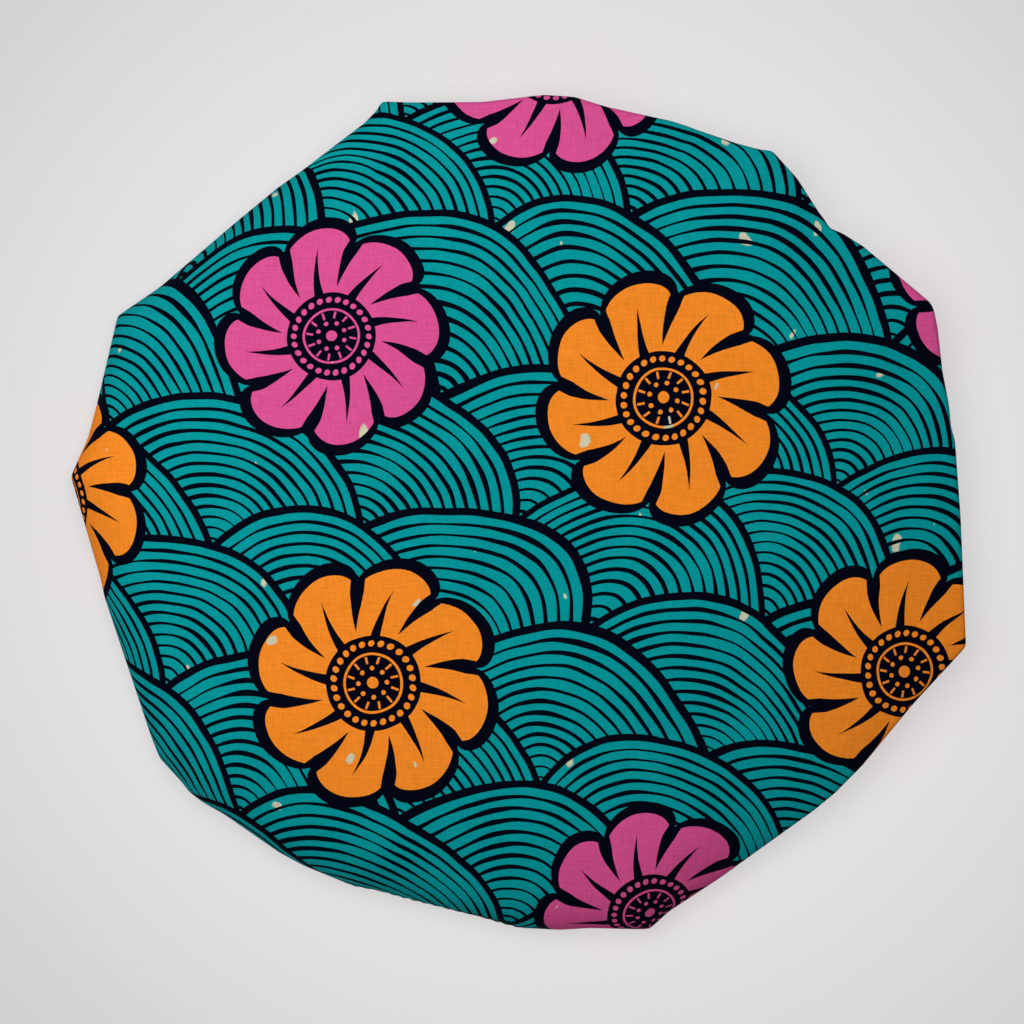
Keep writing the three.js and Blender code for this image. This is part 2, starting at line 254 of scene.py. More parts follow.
@dataclass(frozen=True)
class Folds:
    """The gathers under the rim, as lines that meander up and down with the cloth's spare length."""

    corner_degrees: tuple[float, ...] = (
        -16.6, -3.6, 9.2, 26.9, 42, 54.9, 68.7, 82.3, 95.3, 108.1, 126.6, 140.9, 153.5, 175.9, 191.4, 203.2,
        218, 234.7, 252.9, 271.1, 287.6, 302.5, 318.5, 334.3,
    )
    steepest: float = 1.95  # greatest turn of the cloth's line from level, in radians
    strongest: float = 12.0  # upper end of the search for the waves' scale
    halvings: int = 40
    lowest_wave: int = 10  # slower waves than this, in one turn, are taken out
    crest_limit: float = 0.0145
    softness: float = 0.0004  # height over which a valley's floor is rounded
    wave_fade: int = 4  # waves in one turn over which the slow ones fade out
    tightest: float = 0.05  # least share of its flat length that a ring may take
    pitch_blur: float = 8.0  # columns over which the rim's folds pass from one pitch to the next

    # Weights of the single, double and triple waves, and how far they stray, in radians
    single: tuple[float, float] = (0.75, 0.0)  # at the rim, and where they have faded out
    double: float = 0.8
    triple: tuple[float, float] = (0.12, 1.1)  # at the rim, and where they have taken over
    stray: float = 0.5  # of all, at the casing
    double_stray: float = 0.9
    triple_stray: float = 0.6
    unevenness: float = 0.22  # of the triple waves

    # How fast each change runs with the share of the way in, and the share at which it starts
    evening_rate: float = 1.1
    single_rate: float = 1.25
    double_rates: tuple[float, float] = (4.0, 2.0)  # setting in, and then fading
    double_fade_share: float = 0.45
    double_faded: float = 0.8
    triple_rate: float = 1.5
    triple_share: float = 0.1

    @property
    def count(self) -> int:
        """How many folds reach the rim."""
        return len(self.corner_degrees)

    def lanes(self, even: Array) -> Array:
        """Phase of the rim's folds at each column, for each row.

        Args:
            even: For each row, 0 where the folds follow the rim's corners and 1 where they are evenly spaced.

        Returns:
            The phase, which grows by one turn from each corner to the next.
        """
        corners = np.radians(self.corner_degrees)
        ends = np.append(corners, corners[0] + TURN)
        angles = (COLUMN_ANGLES - corners[0]) % TURN + corners[0]
        by_corner = np.interp(angles, ends, np.arange(self.count + 1) * TURN)
        by_corner = np.unwrap(by_corner, period=TURN * self.count)
        steady = COLUMN_ANGLES * self.count
        drift = blurred(by_corner - steady, self.pitch_blur)
        return steady + drift.mean() + (1 - even[:, None]) * (drift - drift.mean())

    def directions(self, inward: Array) -> Array:
        """Unscaled turn of the cloth's line from level, rows by columns.

        It is a sum of sines of one, two and three waves for each fold of the rim. The single waves fade out
        towards the casing, the double ones are strongest halfway, and the triple ones take over unevenly.
        """
        share = inward[:, None]
        lane = self.lanes(eased(inward * self.evening_rate))
        lane = lane + self.stray * share * ripple(COLUMN_ANGLES, 2, 7, 11)
        single = mix(*self.single, eased(share * self.single_rate))
        grow, fade = self.double_rates
        faded = 1 - self.double_faded * eased((share - self.double_fade_share) * fade)
        double = self.double * eased(share * grow) * faded
        triple = mix(*self.triple, eased((share - self.triple_share) * self.triple_rate))
        uneven = 1 + self.unevenness * ripple(COLUMN_ANGLES, 5, 40, 12)
        return (
            single * np.sin(lane)
            + double * np.sin(2 * lane + self.double_stray * ripple(COLUMN_ANGLES, 3, 17, 13))
            + triple * uneven * np.sin(3 * lane + self.triple_stray * ripple(COLUMN_ANGLES, 3, 23, 14))
        )

    def meander(self, inward: Array, flat: Array, plan: Array) -> tuple[Array, Array]:
        """Heights and side steps of the folds on each ring.

        The directions are scaled, by halving an interval, so that the line's length over the ring's own
        length is the cut's radius over the ring's. Adding up the steps along them gives the line.

        Args:
            inward: Share of the way from the rim, at 0, to the casing's flange, at 1, for each row.
            flat: Radius of each row in the flat cut.
            plan: Mean radius of each row as it lies.

        Returns:
            Height above the valleys and step along the ring, each rows by columns.
        """
        direction = self.directions(inward)
        wanted = np.clip(plan / flat, self.tightest, 1)
        low, high = np.zeros(len(flat)), np.full(len(flat), self.strongest)
        for _ in range(self.halvings):
            middle = (low + high) / 2
            turned = self.steepest * np.tanh(middle[:, None] * direction / self.steepest)
            slack = np.cos(turned).mean(axis=1) > wanted
            low, high = np.where(slack, middle, low), np.where(slack, high, middle)
        turned = self.steepest * np.tanh(low[:, None] * direction / self.steepest)
        step = (TURN * flat / COLUMNS)[:, None]
        height = self.without_slow_waves(np.cumsum(np.sin(turned) * step, axis=1))
        along = self.without_slow_waves(np.cumsum(np.cos(turned) * step, axis=1))
        return self.above_valleys(height), along

    def without_slow_waves(self, rows: Array) -> Array:
        """Takes the straight drift and the slow waves out of rows that nearly close."""
        drift = (rows[:, -1:] - rows[:, :1]) * COLUMNS / (COLUMNS - 1)
        level = rows - drift * np.arange(COLUMNS) / COLUMNS
        waves = np.fft.rfft(level, axis=1)
        waves *= eased((np.arange(waves.shape[1]) - self.lowest_wave + self.wave_fade) / self.wave_fade)
        return np.fft.irfft(waves, COLUMNS, axis=1)

    def above_valleys(self, height: Array) -> Array:
        """Heights measured from the valleys nearby, softly held under the limit."""
        reach = COLUMNS // self.count // 2
        valley = np.min([np.roll(height, k, axis=1) for k in range(-reach, reach + 1)], axis=0)
        raised = height - blurred(valley, reach)
        clear = np.logaddexp(0, raised / self.softness) * self.softness
        return self.crest_limit * np.tanh(clear / self.crest_limit)


@dataclass
class BonnetForm:
    """The bonnet's outer face, from the crown's middle over the rim and in underneath to the raw edge."""

    outline: Outline = field(default_factory=Outline)
    folds: Folds = field(default_factory=Folds)
    creases: tuple[Crease, ...] = ()
    crown_height: float = 0.034
    crown_sag: float = 0.004
    sag_share: float = 0.42
    rim_low: float = 0.0075  # the rim's height where the cloth rolls over
    rim_high: float = 0.0225  # and where it lies flat as far as a crisp fold
    full: tuple[float, float] = (6.0, 0.5)  # the dome's two powers where the cloth rolls over
    crisp: tuple[float, float] = (5.0, 1.0)  # and where it is crisp
    crisp_degrees: float = 30.0  # the middle of the crisp side
    crisp_level: float = 0.4  # crispness a quarter turn from there
    crisp_swing: float = 0.9  # and how much more there is in the middle, before it is eased
    fold_radius: float = 0.0018  # of the crisp fold
    seen_from: float = 1.6  # the camera's height, from which the outline is seen
    seen_at: float = 0.0092  # the height at which the outline has its true size
    slack: float = 0.0006  # of the crown's billows
    billow_lengths: tuple[float, float] = (0.045, 0.11)
    billow_fade_rate: float = 8.0  # how fast they set in, with the share of the way from the rim
    rim_tuck: float = 0.009
    flange_radius: float = 0.0891
    ply_edge_radius: float = 0.0831
    seam_low: float = 0.0052
    seam_wave: float = 0.0024
    rise_share: float = 0.68  # of the way to the flange, where the valleys leave the table
    neck_share: float = 0.92  # and where the folds start to flatten for the seam
    roll_share: float = 0.06  # of the way to the flange, that the roll counts as
    roll_onset: float = 0.55  # how far the folds have set in at the roll's end
    onset_rate: float = 3.0  # how fast they set in beyond it
    seam_hold: float = 0.75  # how much of the folds' side steps the seam takes away
    plain_share: float = 0.5  # of the way to the flange, where the folds stop following the rim's corners
    shoulder: float = 0.036  # cloth inside the rim that has the fine rings
    samples: int = 4000  # points at which the crown's length is measured
    crown_rings: int = 26
    fine_rings: int = 20  # rings near the rim that have a point in every column
    roll_rings: int = 6
    under_rings: int = 18
    neck_rings: int = 5
    seam_rings: int = 3
    middle_points: int = 36  # on the crown's innermost rings
    doubling_shares: tuple[float, ...] = (0.12, 0.3, 0.62)  # of the crown, where their number doubles
    crowding: float = 1.5  # power by which the fine rings crowd towards the rim

    def __post_init__(self) -> None:
        """Works out the whole face once."""
        from_crisp = COLUMN_ANGLES - math.radians(self.crisp_degrees)
        crisp = eased(self.crisp_level + self.crisp_swing * np.cos(from_crisp))
        self.rim_level = mix(self.rim_low, self.rim_high, crisp)
        self.fold = self.fold_radius * crisp
        self.powers = tuple(mix(full, sharp, crisp) for full, sharp in zip(self.full, self.crisp))
        nearer = (self.seen_from - self.rim_level) / (self.seen_from - self.seen_at)
        self.rim = self.outline.reach(COLUMN_ANGLES) * nearer
        self.mean_rim = float(self.rim.mean())
        self.build_stations()
        self.face, self.cut = self.build_face()
        self.inward = self.inward_ways()

    def crown_profile(self, share: Array, rim_level: Array | float, powers: Sequence[Any],
                      fold: Array | float) -> Array:
        """Height of the crown at a share of the way to the rim.

        Args:
            share: The shares, 0 at the middle and 1 at the rim.
            rim_level: Height of the rim.
            powers: The dome's two powers, the first of the share and the second of what it leaves of 1.
            fold: Radius of the rim's fold.

        Returns:
            A flat dome that sags in its middle, less a quarter circle of the fold's radius at the rim.
        """
        round_share = np.clip(1 - share ** powers[0], 0, 1) ** powers[1]
        dome = mix(rim_level + fold, self.crown_height, round_share)
        dip = self.crown_sag * (1 - (np.clip(share / self.sag_share, 0, 1)) ** 2)
        edge = np.clip(1 - (1 - share) * self.mean_rim / self.fold_radius, 0, 1)
        return dome - dip - fold * (1 - np.sqrt(1 - edge**2))

    def build_stations(self) -> None:
        """Places the rings: shares of the crown, angles of the roll, shares of the underside and of the seam.

        The crown's rings are spaced by the cloth's length, and crowd towards the rim. Towards the middle they
        have fewer points, each count a whole part of the next.
        """
        fine = 1 - np.linspace(1, 0, self.samples) ** 3
        fall = np.diff(self.crown_profile(fine, self.rim_low, self.full, 0.0))
        run = np.concatenate([[0], np.cumsum(np.hypot(np.diff(fine) * self.mean_rim, fall))])
        shoulder = run[-1] - self.shoulder
        inner = np.linspace(0, shoulder, self.crown_rings + 1)[1:]
        outer = mix(run[-1], shoulder, np.linspace(1, 0, self.fine_rings + 1)[1:] ** self.crowding)
        self.crown = np.interp(np.concatenate([[0], inner, outer]), run, fine)
        self.crown[-1] = 1
        self.roll = np.linspace(0, QUARTER, self.roll_rings + 1)[1:]
        under = np.linspace(0, self.neck_share, self.under_rings + 1)[1:]
        neck = np.linspace(self.neck_share, 1, self.neck_rings + 1)[1:]
        self.under = np.concatenate([under, neck])
        self.seam = np.linspace(0, 1, self.seam_rings + 1)[1:]
        doublings = np.searchsorted(self.doubling_shares, self.crown[1 : -self.fine_rings], side="right")
        self.outer_rings = self.fine_rings + len(self.roll) + len(self.under) + len(self.seam)
        self.counts = [1, *(self.middle_points * 2**doublings).tolist(), *[COLUMNS] * self.outer_rings]

    def build_face(self) -> tuple[Array, Array]:
        """The face, rings by columns by 3, and its places in the flat cut, rings by columns by 2."""
        radii, heights = self.level_section()
        cut = self.walked_cut(radii, heights)
        angles = self.gather(radii, heights, cut)
        face = around(radii, angles, heights)
        flat = around(cut, COLUMN_ANGLES, heights)[..., :2]
        self.crumple(face, flat)
        return face, flat

    def level_section(self) -> tuple[Array, Array]:
        """Radius and height of every point before gathering: dome, quarter ellipse, plane and seam."""
        rim = self.rim[None, :]
        ones = np.ones_like(rim)
        crown, roll, under, seam = (part[:, None] for part in (self.crown, self.roll, self.under, self.seam))
        radii = np.vstack([
            crown * rim,
            rim - self.rim_tuck * (1 - np.cos(roll)),
            mix(rim - self.rim_tuck, self.flange_radius, under),
            mix(self.flange_radius, self.ply_edge_radius, seam) * ones,
        ])
        heights = np.vstack([
            self.crown_profile(crown, self.rim_level, self.powers, self.fold) * ones,
            self.rim_level * (1 - np.sin(roll)) * ones,
            self.seam_low * eased((under - self.rise_share) / (1 - self.rise_share)) * ones,
            self.seam_low * ones * np.ones_like(seam),
        ])
        return radii, heights

    def walked_cut(self, radii: Array, heights: Array) -> Array:
        """Radius of every point in the flat cut.

        It is the length walked along the section, and beyond the roll it is scaled to end at the raw edge.
        """
        steps = np.hypot(np.diff(radii, axis=0), np.diff(heights, axis=0))
        run = np.vstack([np.zeros_like(radii[:1]), np.cumsum(steps, axis=0)])
        turn_in = len(self.crown) + len(self.roll) - 1
        beyond = run - run[turn_in]
        stretch = (CUT_RADIUS - run[turn_in]) / beyond[-1]
        return np.where(beyond > 0, run[turn_in] + beyond * stretch, run)

    def gather(self, radii: Array, heights: Array, cut: Array) -> Array:
        """Folds the cloth under the rim, square to the section and along the rings.

        Args:
            radii: Radius of every point, which is changed.
            heights: Height of every point, which is changed.
            cut: Radius of every point in the flat cut.

        Returns:
            The angle of every point. The folds set in over the roll, and flatten where they are sewn.
        """
        below = slice(len(self.crown), None)
        sewn = np.ones(len(self.seam))
        rolled = self.roll / QUARTER
        tilt = np.concatenate([self.roll, np.full(len(self.under) + len(sewn), QUARTER)])[:, None]
        inward = np.concatenate([self.roll_share * rolled, mix(self.roll_share, 1, self.under), sewn])
        lift, along = self.folds.meander(inward, cut[below].mean(axis=1), radii[below].mean(axis=1))
        set_in = [rolled * self.roll_onset, self.roll_onset + self.under * self.onset_rate, sewn]
        onset = eased(np.concatenate(set_in))[:, None]
        necked = np.concatenate([np.zeros_like(rolled), self.under, sewn]) - self.neck_share
        close = eased(necked / (1 - self.neck_share))[:, None]
        lift = lift * onset * (1 - close) + close * self.seam_wave * lift / lift[-1].max()
        along = along * onset * (1 - self.seam_hold * close)

        angles = np.broadcast_to(COLUMN_ANGLES, radii.shape).copy()
        angles[below] += along / radii[below]
        shaped = self.outline.reach(angles[below]) / self.outline.reach(COLUMN_ANGLES)
        plain = eased((inward - self.plain_share) / (1 - self.plain_share))[:, None]
        radii[below] = mix(radii[below] * shaped, radii[below], plain)
        radii[below] -= lift * np.cos(tilt)
        heights[below] += lift * np.sin(tilt)
        return angles

    def crumple(self, face: Array, flat: Array) -> None:
        """Adds the crown's billows, which die out at the rim, and creases, which die out over the roll."""
        top = slice(0, len(self.crown))
        upper = slice(0, len(self.crown) + len(self.roll))
        fade = np.concatenate([np.ones(len(self.crown)), 1 - eased(self.roll / QUARTER)])[:, None]
        height = self.slack * eased((1 - self.crown[:, None]) * self.billow_fade_rate)
        face[top, :, 2] += height * billows(face[top, :, :2], *self.billow_lengths, 31)
        for crease in self.creases:
            raised, shifted = crease.raise_cloth(face[upper, :, :2])
            face[upper, :, 2] += raised * fade
            flat[upper] += shifted * fade[..., None]

    def inward_ways(self) -> Array:
        """Unit ways into the bonnet: the rings' way crossed with the columns' way, turned inwards."""
        out = np.gradient(self.face, axis=0)
        round_way = (np.roll(self.face, -1, axis=1) - np.roll(self.face, 1, axis=1)) / 2
        ways = np.cross(round_way, out)
        ways[0] = (0, 0, -1)
        return ways / np.maximum(np.linalg.norm(ways, axis=-1, keepdims=True), 1e-12)

    def at_depth(self, depth: float) -> Array:
        """The face moved into the bonnet by a depth."""
        return self.face + self.inward * depth


def bridge(inner: int, outer: int, inner_start: int, outer_start: int) -> list[list[int]]:
    """Faces between two rings where the outer one has a whole number of times as many points.

    Args:
        inner: Points of the ring nearer the start.
        outer: Points of the next ring.
        inner_start: Index of the first ring's first point.
        outer_start: Index of the next ring's first point.

    Returns:
        One face for each step of the first ring, or one triangle for each step of the next where the first is
        a single point.
    """
    if inner == 1:
        near = np.arange(outer)
        far = (near + 1) % outer
        return np.stack([np.full(outer, inner_start), near + outer_start, far + outer_start], axis=1).tolist()
    times = outer // inner
    step = np.arange(inner)
    span = (step[:, None] * times + np.arange(times + 1)) % outer + outer_start
    ends = np.stack([(step + 1) % inner, step], axis=1) + inner_start
    return np.hstack([span, ends]).tolist()


def ringed_mesh(name: str, rings: Array, counts: Sequence[int], cut: Array | None = None) -> Piece:
    """Makes a mesh object from rings of points.

    Args:
        name: Name of the piece.
        rings: Points as rings by columns by 3.
        counts: Points kept on each ring, every one a whole part of the columns.
        cut: Places in the flat cut, as rings by columns by 2, for its UV map.

    Returns:
        The object, smooth shaded.
    """
    picks = [slice(None, None, rings.shape[1] // count) for count in counts]
    points = np.concatenate([rings[k][pick] for k, pick in enumerate(picks)])
    faces: list[list[int]] = []
    start = 0
    for inner, outer in zip(counts[:-1], counts[1:]):
        faces += bridge(inner, outer, start, start + inner)
        start += inner
    if cut is None:
        return mesh_piece(name, points, faces)
    places = np.concatenate([cut[k][pick] for k, pick in enumerate(picks)]) / CUT_SIDE + 0.5
    return mesh_piece(name, points, faces, places)


def mesh_piece(name: str, points: Array, faces: Faces, places: Array | None = None) -> Piece:
    """Makes a smooth mesh object at the origin.

    Args:
        name: Name of the piece.
        points: Its points, one row each.
        faces: Its faces, as lists of point numbers.
        places: A place in the UV map for each point, or None.

    Returns:
        The object, linked to the scene.
    """
    mesh = bpy.data.meshes.new(name)
    mesh.from_pydata(points.reshape(-1, 3).tolist(), [], faces)
    if places is not None:
        corners = np.empty(len(mesh.loops), dtype=np.int32)
        mesh.loops.foreach_get("vertex_index", corners)
        layer = mesh.uv_layers.new(name=BAKED_MAP)
        layer.data.foreach_set("uv", places.reshape(-1, 2)[corners].astype(np.float32).ravel())
    mesh.polygons.foreach_set("use_smooth", np.ones(len(mesh.polygons), dtype=bool))
    mesh.update()
    piece = bpy.data.objects.new(name, mesh)
    bpy.context.scene.collection.objects.link(piece)
    return piece


def grid_faces(rows: int, columns: int) -> Array:
    """Four-cornered faces of a grid of points, row by row, whose last column joins its first.

    Args:
        rows: Number of rows.
        columns: Number of columns.

    Returns:
        Point numbers, four for each face. They turn left where rows run left and columns run up.
    """
    row = np.arange(rows - 1)[:, None] * columns
    column = np.arange(columns)[None, :]
    right = (column + 1) % columns
    corners = [row + column, row + right, row + columns + right, row + columns + column]
    return np.stack([corner.ravel() for corner in corners], axis=1)


def tube_faces(rows: int, sides: int) -> list[list[int]]:
    """Faces of a tube of rings of points, with a flat cap at either end."""
    last = rows * sides - 1
    caps = [list(range(sides)), list(range(last, last - sides, -1))]
    return grid_faces(rows, sides).tolist() + caps


def thicken(piece: Piece, thickness: float, offset: float = -1) -> None:
    """Gives a cloth its thickness, inwards or, with an offset of 0, both ways, and closes its raw edge."""
    solid = piece.modifiers.new("cloth thickness", "SOLIDIFY")
    solid.thickness = thickness
    solid.offset = offset
    solid.use_even_offset = False
    solid.use_rim = True


def dress(piece: Piece, slot: Slot, material: Material, node: str) -> Piece:
    """Gives a piece its material and its body, and hides the CAD node that it stands for."""
    piece.data.materials.append(material)
    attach(piece, "root")
    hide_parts(node)
    return piece


def declare_round_cut(piece: Piece) -> Piece:
    """Returns the ply unchanged."""
    return piece


# Finishes


def colour(code: str) -> tuple[float, float, float, float]:
    """Linear colour of an sRGB hex value such as 07969b."""
    shades = [int(code[k : k + 2], 16) / 255 for k in (0, 2, 4)]
    linear = [s / 12.92 if s <= 0.04045 else ((s + 0.055) / 1.055) ** 2.4 for s in shades]
    return (linear[0], linear[1], linear[2], 1.0)


@dataclass
class Surface:
    """A material and its nodes."""

    name: str

    def __post_init__(self) -> None:
        """Makes the material with nothing but its shader and output."""
        self.material = bpy.data.materials.new(self.name)
        self.material.use_nodes = True
        self.tree = self.material.node_tree
        self.tree.nodes.clear()
        self.shader = self.tree.nodes.new("ShaderNodeBsdfPrincipled")
        output = self.tree.nodes.new("ShaderNodeOutputMaterial")
        self.tree.links.new(self.shader.outputs[0], output.inputs[0])

    def add(self, kind: str, *values: Any, out: int | str = 0, **named: Any) -> Socket:
        """Adds a node.

        Args:
            kind: The node's type without ShaderNode, and after a space its operation where it has one.
            values: A number, colour or socket for each of its first inputs, or None to leave one alone.
            out: Which output is wanted.
            named: Further inputs, by names with a capital, and the node's own settings.

        Returns:
            The wanted output.
        """
        kind, *operation = kind.split()
        made = self.tree.nodes.new("ShaderNode" + kind)
        if operation:
            made.operation = operation[0]
        for key in [key for key in named if key.islower()]:
            setattr(made, key, named.pop(key))
        for key, value in [*enumerate(values), *named.items()]:
            self.feed(made.inputs[key], value)
        return made.outputs[out]

    def feed(self, socket: Socket, value: Any) -> None:
        """Links a socket to another socket, or sets it to a plain value, or leaves it alone for None."""
        if isinstance(value, Socket):
            self.tree.links.new(value, socket)
        elif value is not None:
            socket.default_value = value

    def set_shader(self, **values: Any) -> None:
        """Sets or links the shader's inputs, by name with spaces as underscores."""
        for key, value in values.items():
            self.feed(self.shader.inputs[key.replace("_", " ")], value)

    def strayed(self, place: Socket, reach: float, scale: float, detail: float = 0.0) -> Socket:
        """Places moved across and up by a noise of a scale, half of it forwards and half backwards."""
        noise = self.add("TexNoise", place, out="Color", Scale=scale, Detail=detail)
        noise = self.add("VectorMath ADD", noise, (-0.5, -0.5, -0.5))
        return self.add("VectorMath MULTIPLY_ADD", noise, (reach, reach, 0), place)

    def emboss(self, code: str, height: Socket, shades: Sequence[float], strength: float,
               depth: float = 0.0002) -> None:
        """Gives the surface a relief, and paints shade and highlight by it into a plain colour: darker where
        the relief is low, lighter where it is high.

        Args:
            code: The colour, as an sRGB hex value.
            height: The relief's height.
            shades: From and to which height the painted shade changes, and its values there.
            strength: How strong the relief is.
            depth: How deep it is, in metres.
        """
        # painted shade and highlight: the colour is scaled by the relief's height
        shade = self.add("MapRange", height, *shades)
        base = self.add("VectorMath SCALE", colour(code)[:3], Scale=shade)
        bump = self.add("Bump", Strength=strength, Distance=depth, Height=height)
        self.set_shader(Base_Color=base, Normal=bump)


@dataclass(frozen=True)
class Blossom:
    """One printed rosette: its middle on the flat cut and radius in millimetres, its turn and its ink."""

    x: float
    y: float
    radius: float
    turn: float
    pink: bool


@dataclass(frozen=True)
class Dots:
    """Dots on a circle round a rosette's middle: the circle's radius, their number and their radius."""

    circle: float
    count: int
    radius: float

    def mark(self, made: Surface, far: Socket, angle: Socket) -> Socket:
        """1 inside a dot. The gaps along the circle and across it make the distance from the nearest dot."""
        along = made.add("Math PINGPONG", angle, math.pi / self.count)
        along = made.add("Math MULTIPLY", along, self.circle)
        across = made.add("Math SUBTRACT", far, self.circle)
        gap = made.add("CombineXYZ", along, across)
        gap = made.add("VectorMath LENGTH", gap, out="Value")
        return made.add("Math LESS_THAN", gap, self.radius)


@dataclass(frozen=True)
class WaxPrint:
    """Plain-woven cotton printed with resist-dyed rosettes on a ground of scales.

    The inks are matt and opaque, the black has a hard edge with a little spread into the threads, and small
    cream flecks show where the resist cracked or a bubble lay under it. The cloth itself has slubs, thicker
    threads a few millimetres long, and no shine. Lengths are in millimetres on the flat cut.
    """

    teal: str = "05989c"
    orange: str = "fa8d28"
    pink: str = "dc5393"
    ink: str = "020514"
    cream: str = "cfcfb0"
    wobble: float = 2.0  # how far the drawing hand strays, in waves of about 20 mm
    scale_radius: float = 62.0
    scale_across: float = 106.0
    scale_up: float = 30.0
    scale_turn: float = 0.42
    scale_bend: float = 46.0  # how far the rows of scales are bent, in waves of about 120 mm
    line_pitch: float = 4.3
    line_width: float = 1.39
    line_unevenness: float = 1.3
    border_width: float = 2.9
    thread_pitch: float = 1.15  # real threads are 0.35 mm apart, which is finer than a pixel
    # painted shade between the woven threads, with the slubs' own lighter tone: how much the relief scales
    # the dye
    weave_shade_and_slub_tone: float = 0.34

    # A rosette's parts, from its edge to its middle, at the radius that it is drawn with
    drawn_radius: float = 46.0
    petals: int = 8
    petal_foot: float = 35.0  # where two petals meet
    petal_swell: float = 11.0
    petal_closing: float = 0.97  # how nearly a petal's edge comes down to the foot, of 1
    petal_twist: float = 0.009  # radians for each millimetre from the middle
    outline_width: float = 4.2
    vein: tuple[float, float, float] = (12.0, 34.0, 2.3)  # from, to, and half its width where it starts
    notch: tuple[float, float, float] = (19.0, 33.0, 2.6)  # from, to, and half its width where it ends
    heart: float = 17.0
    dots: Dots = Dots(14.2, 26, 1.15)
    band: tuple[float, float] = (10.4, 0.45)  # radius of its middle, and half its width
    rays: tuple[float, float] = (8.2, 1.3)  # radius of their middle, and half their length
    ray_count: int = 12
    ray_width: float = 0.42
    pearls: Dots = Dots(5.2, 8, 0.85)
    pip: float = 2.1

    blossoms: tuple[Blossom, ...] = (
        Blossom(56, 44, 50, 0.2, False),
        Blossom(-72, 68, 46, 1.1, True),
        Blossom(-56, -66, 50, 0.7, False),
        Blossom(150, -62, 48, 0.5, False),
        Blossom(14, 176, 46, 0.9, True),
        Blossom(-188, 6, 46, 0.0, False),
        Blossom(52, -158, 46, 0.3, True),
        Blossom(190, 92, 46, 1.3, True),
        Blossom(118, 200, 48, 0.6, False),
        Blossom(-118, 208, 48, 0.1, False),
        Blossom(-210, 128, 46, 0.8, True),
        Blossom(-196, -134, 48, 0.4, True),
        Blossom(-92, -222, 48, 0.9, False),
        Blossom(150, -200, 48, 0.2, False),
        Blossom(250, -20, 46, 0.5, True),
    )

    def build(self, name: str) -> Material:
        """The whole material."""
        made = Surface(name)
        add = made.add
        place = add("VectorMath ADD", add("UVMap", uv_map=BAKED_MAP), (-0.5, -0.5, 0))
        place = add("VectorMath SCALE", place, Scale=1000 * CUT_SIDE)
        drawn = made.strayed(place, self.wobble, 0.05, detail=1.0)
        flower, flower_ink, hue = self.rosettes(made, drawn)
        bare = add("Math SUBTRACT", 1.0, flower)
        ink = add("Math MULTIPLY_ADD", self.scales(made, drawn), bare, flower_ink, use_clamp=True)
        petal = add("MixRGB", hue, colour(self.orange), colour(self.pink))
        dyed = add("MixRGB", flower, colour(self.teal), petal)
        dyed = add("MixRGB", self.flecks(made, place), dyed, colour(self.cream))
        relief = add("Math MULTIPLY_ADD", self.slubs(made, place), 1.6, self.weave(made, place))
        # painted shade between the threads and the slubs' own tone: the cloth's colour is scaled by its
        # relief, and dyed carries it from here on
        shade = add("Math MULTIPLY_ADD", relief, self.weave_shade_and_slub_tone, 1 - 0.8 * self.weave_shade_and_slub_tone)
        dyed = add("VectorMath SCALE", dyed, Scale=shade)
        printed = add("MixRGB", ink, dyed, colour(self.ink))
        bump = add("Bump", Strength=0.12, Distance=0.0002, Height=relief)
        rough = add("Math MULTIPLY_ADD", ink, -0.12, 0.86)
        made.set_shader(Base_Color=printed, Roughness=rough, Normal=bump, Specular_IOR_Level=0.02)
        return made.material

    def scales(self, made: Surface, place: Socket) -> Socket:
        """Ink of the ground.

        Rows of circles overlap like scales, the lower rows in front. A point belongs to the first row, from
        the front, with a circle that holds it, and its distance from that circle's middle draws rings and a
        border. The first ring lies a whole gap inside the border.
        """
        add = made.add
        bent = made.strayed(place, self.scale_bend, 0.0085)
        bent = add("VectorRotate", bent, rotation_type="Z_AXIS", Angle=self.scale_turn)
        across = add("SeparateXYZ", bent)
        up = across.node.outputs[1]
        row = add("Math DIVIDE", up, self.scale_up)
        row = add("Math FLOOR", row)
        found: Socket | None = None
        for lift in (1, 0, -1, -2):
            this = add("Math ADD", row, float(lift))
            rise = add("Math MULTIPLY_ADD", this, -self.scale_up, up)
            odd = add("Math FRACT", add("Math MULTIPLY", this, 0.5))
            aside = add("Math MULTIPLY_ADD", odd, self.scale_across, across)
            aside = add("Math PINGPONG", aside, self.scale_across / 2)
            reach = add("VectorMath LENGTH", add("CombineXYZ", aside, rise), out="Value")
            if found is None:
                found = reach
                continue
            holds = add("Math LESS_THAN", reach, self.scale_radius)
            found = add("Mix", holds, None, found, reach)
        depth = add("Math SUBTRACT", self.scale_radius, found)
        border = add("Math LESS_THAN", depth, self.border_width)
        line = add("Math ADD", depth, self.line_width / 2 - self.border_width)
        line = add("Math PINGPONG", line, self.line_pitch / 2)
        vary = add("TexNoise", place, Scale=0.05, Detail=0.0)
        thinnest = (self.line_width - self.line_unevenness) / 2
        width = add("Math MULTIPLY_ADD", vary, self.line_unevenness, thinnest)
        line = add("Math LESS_THAN", line, width)
        return add("Math MAXIMUM", border, line)

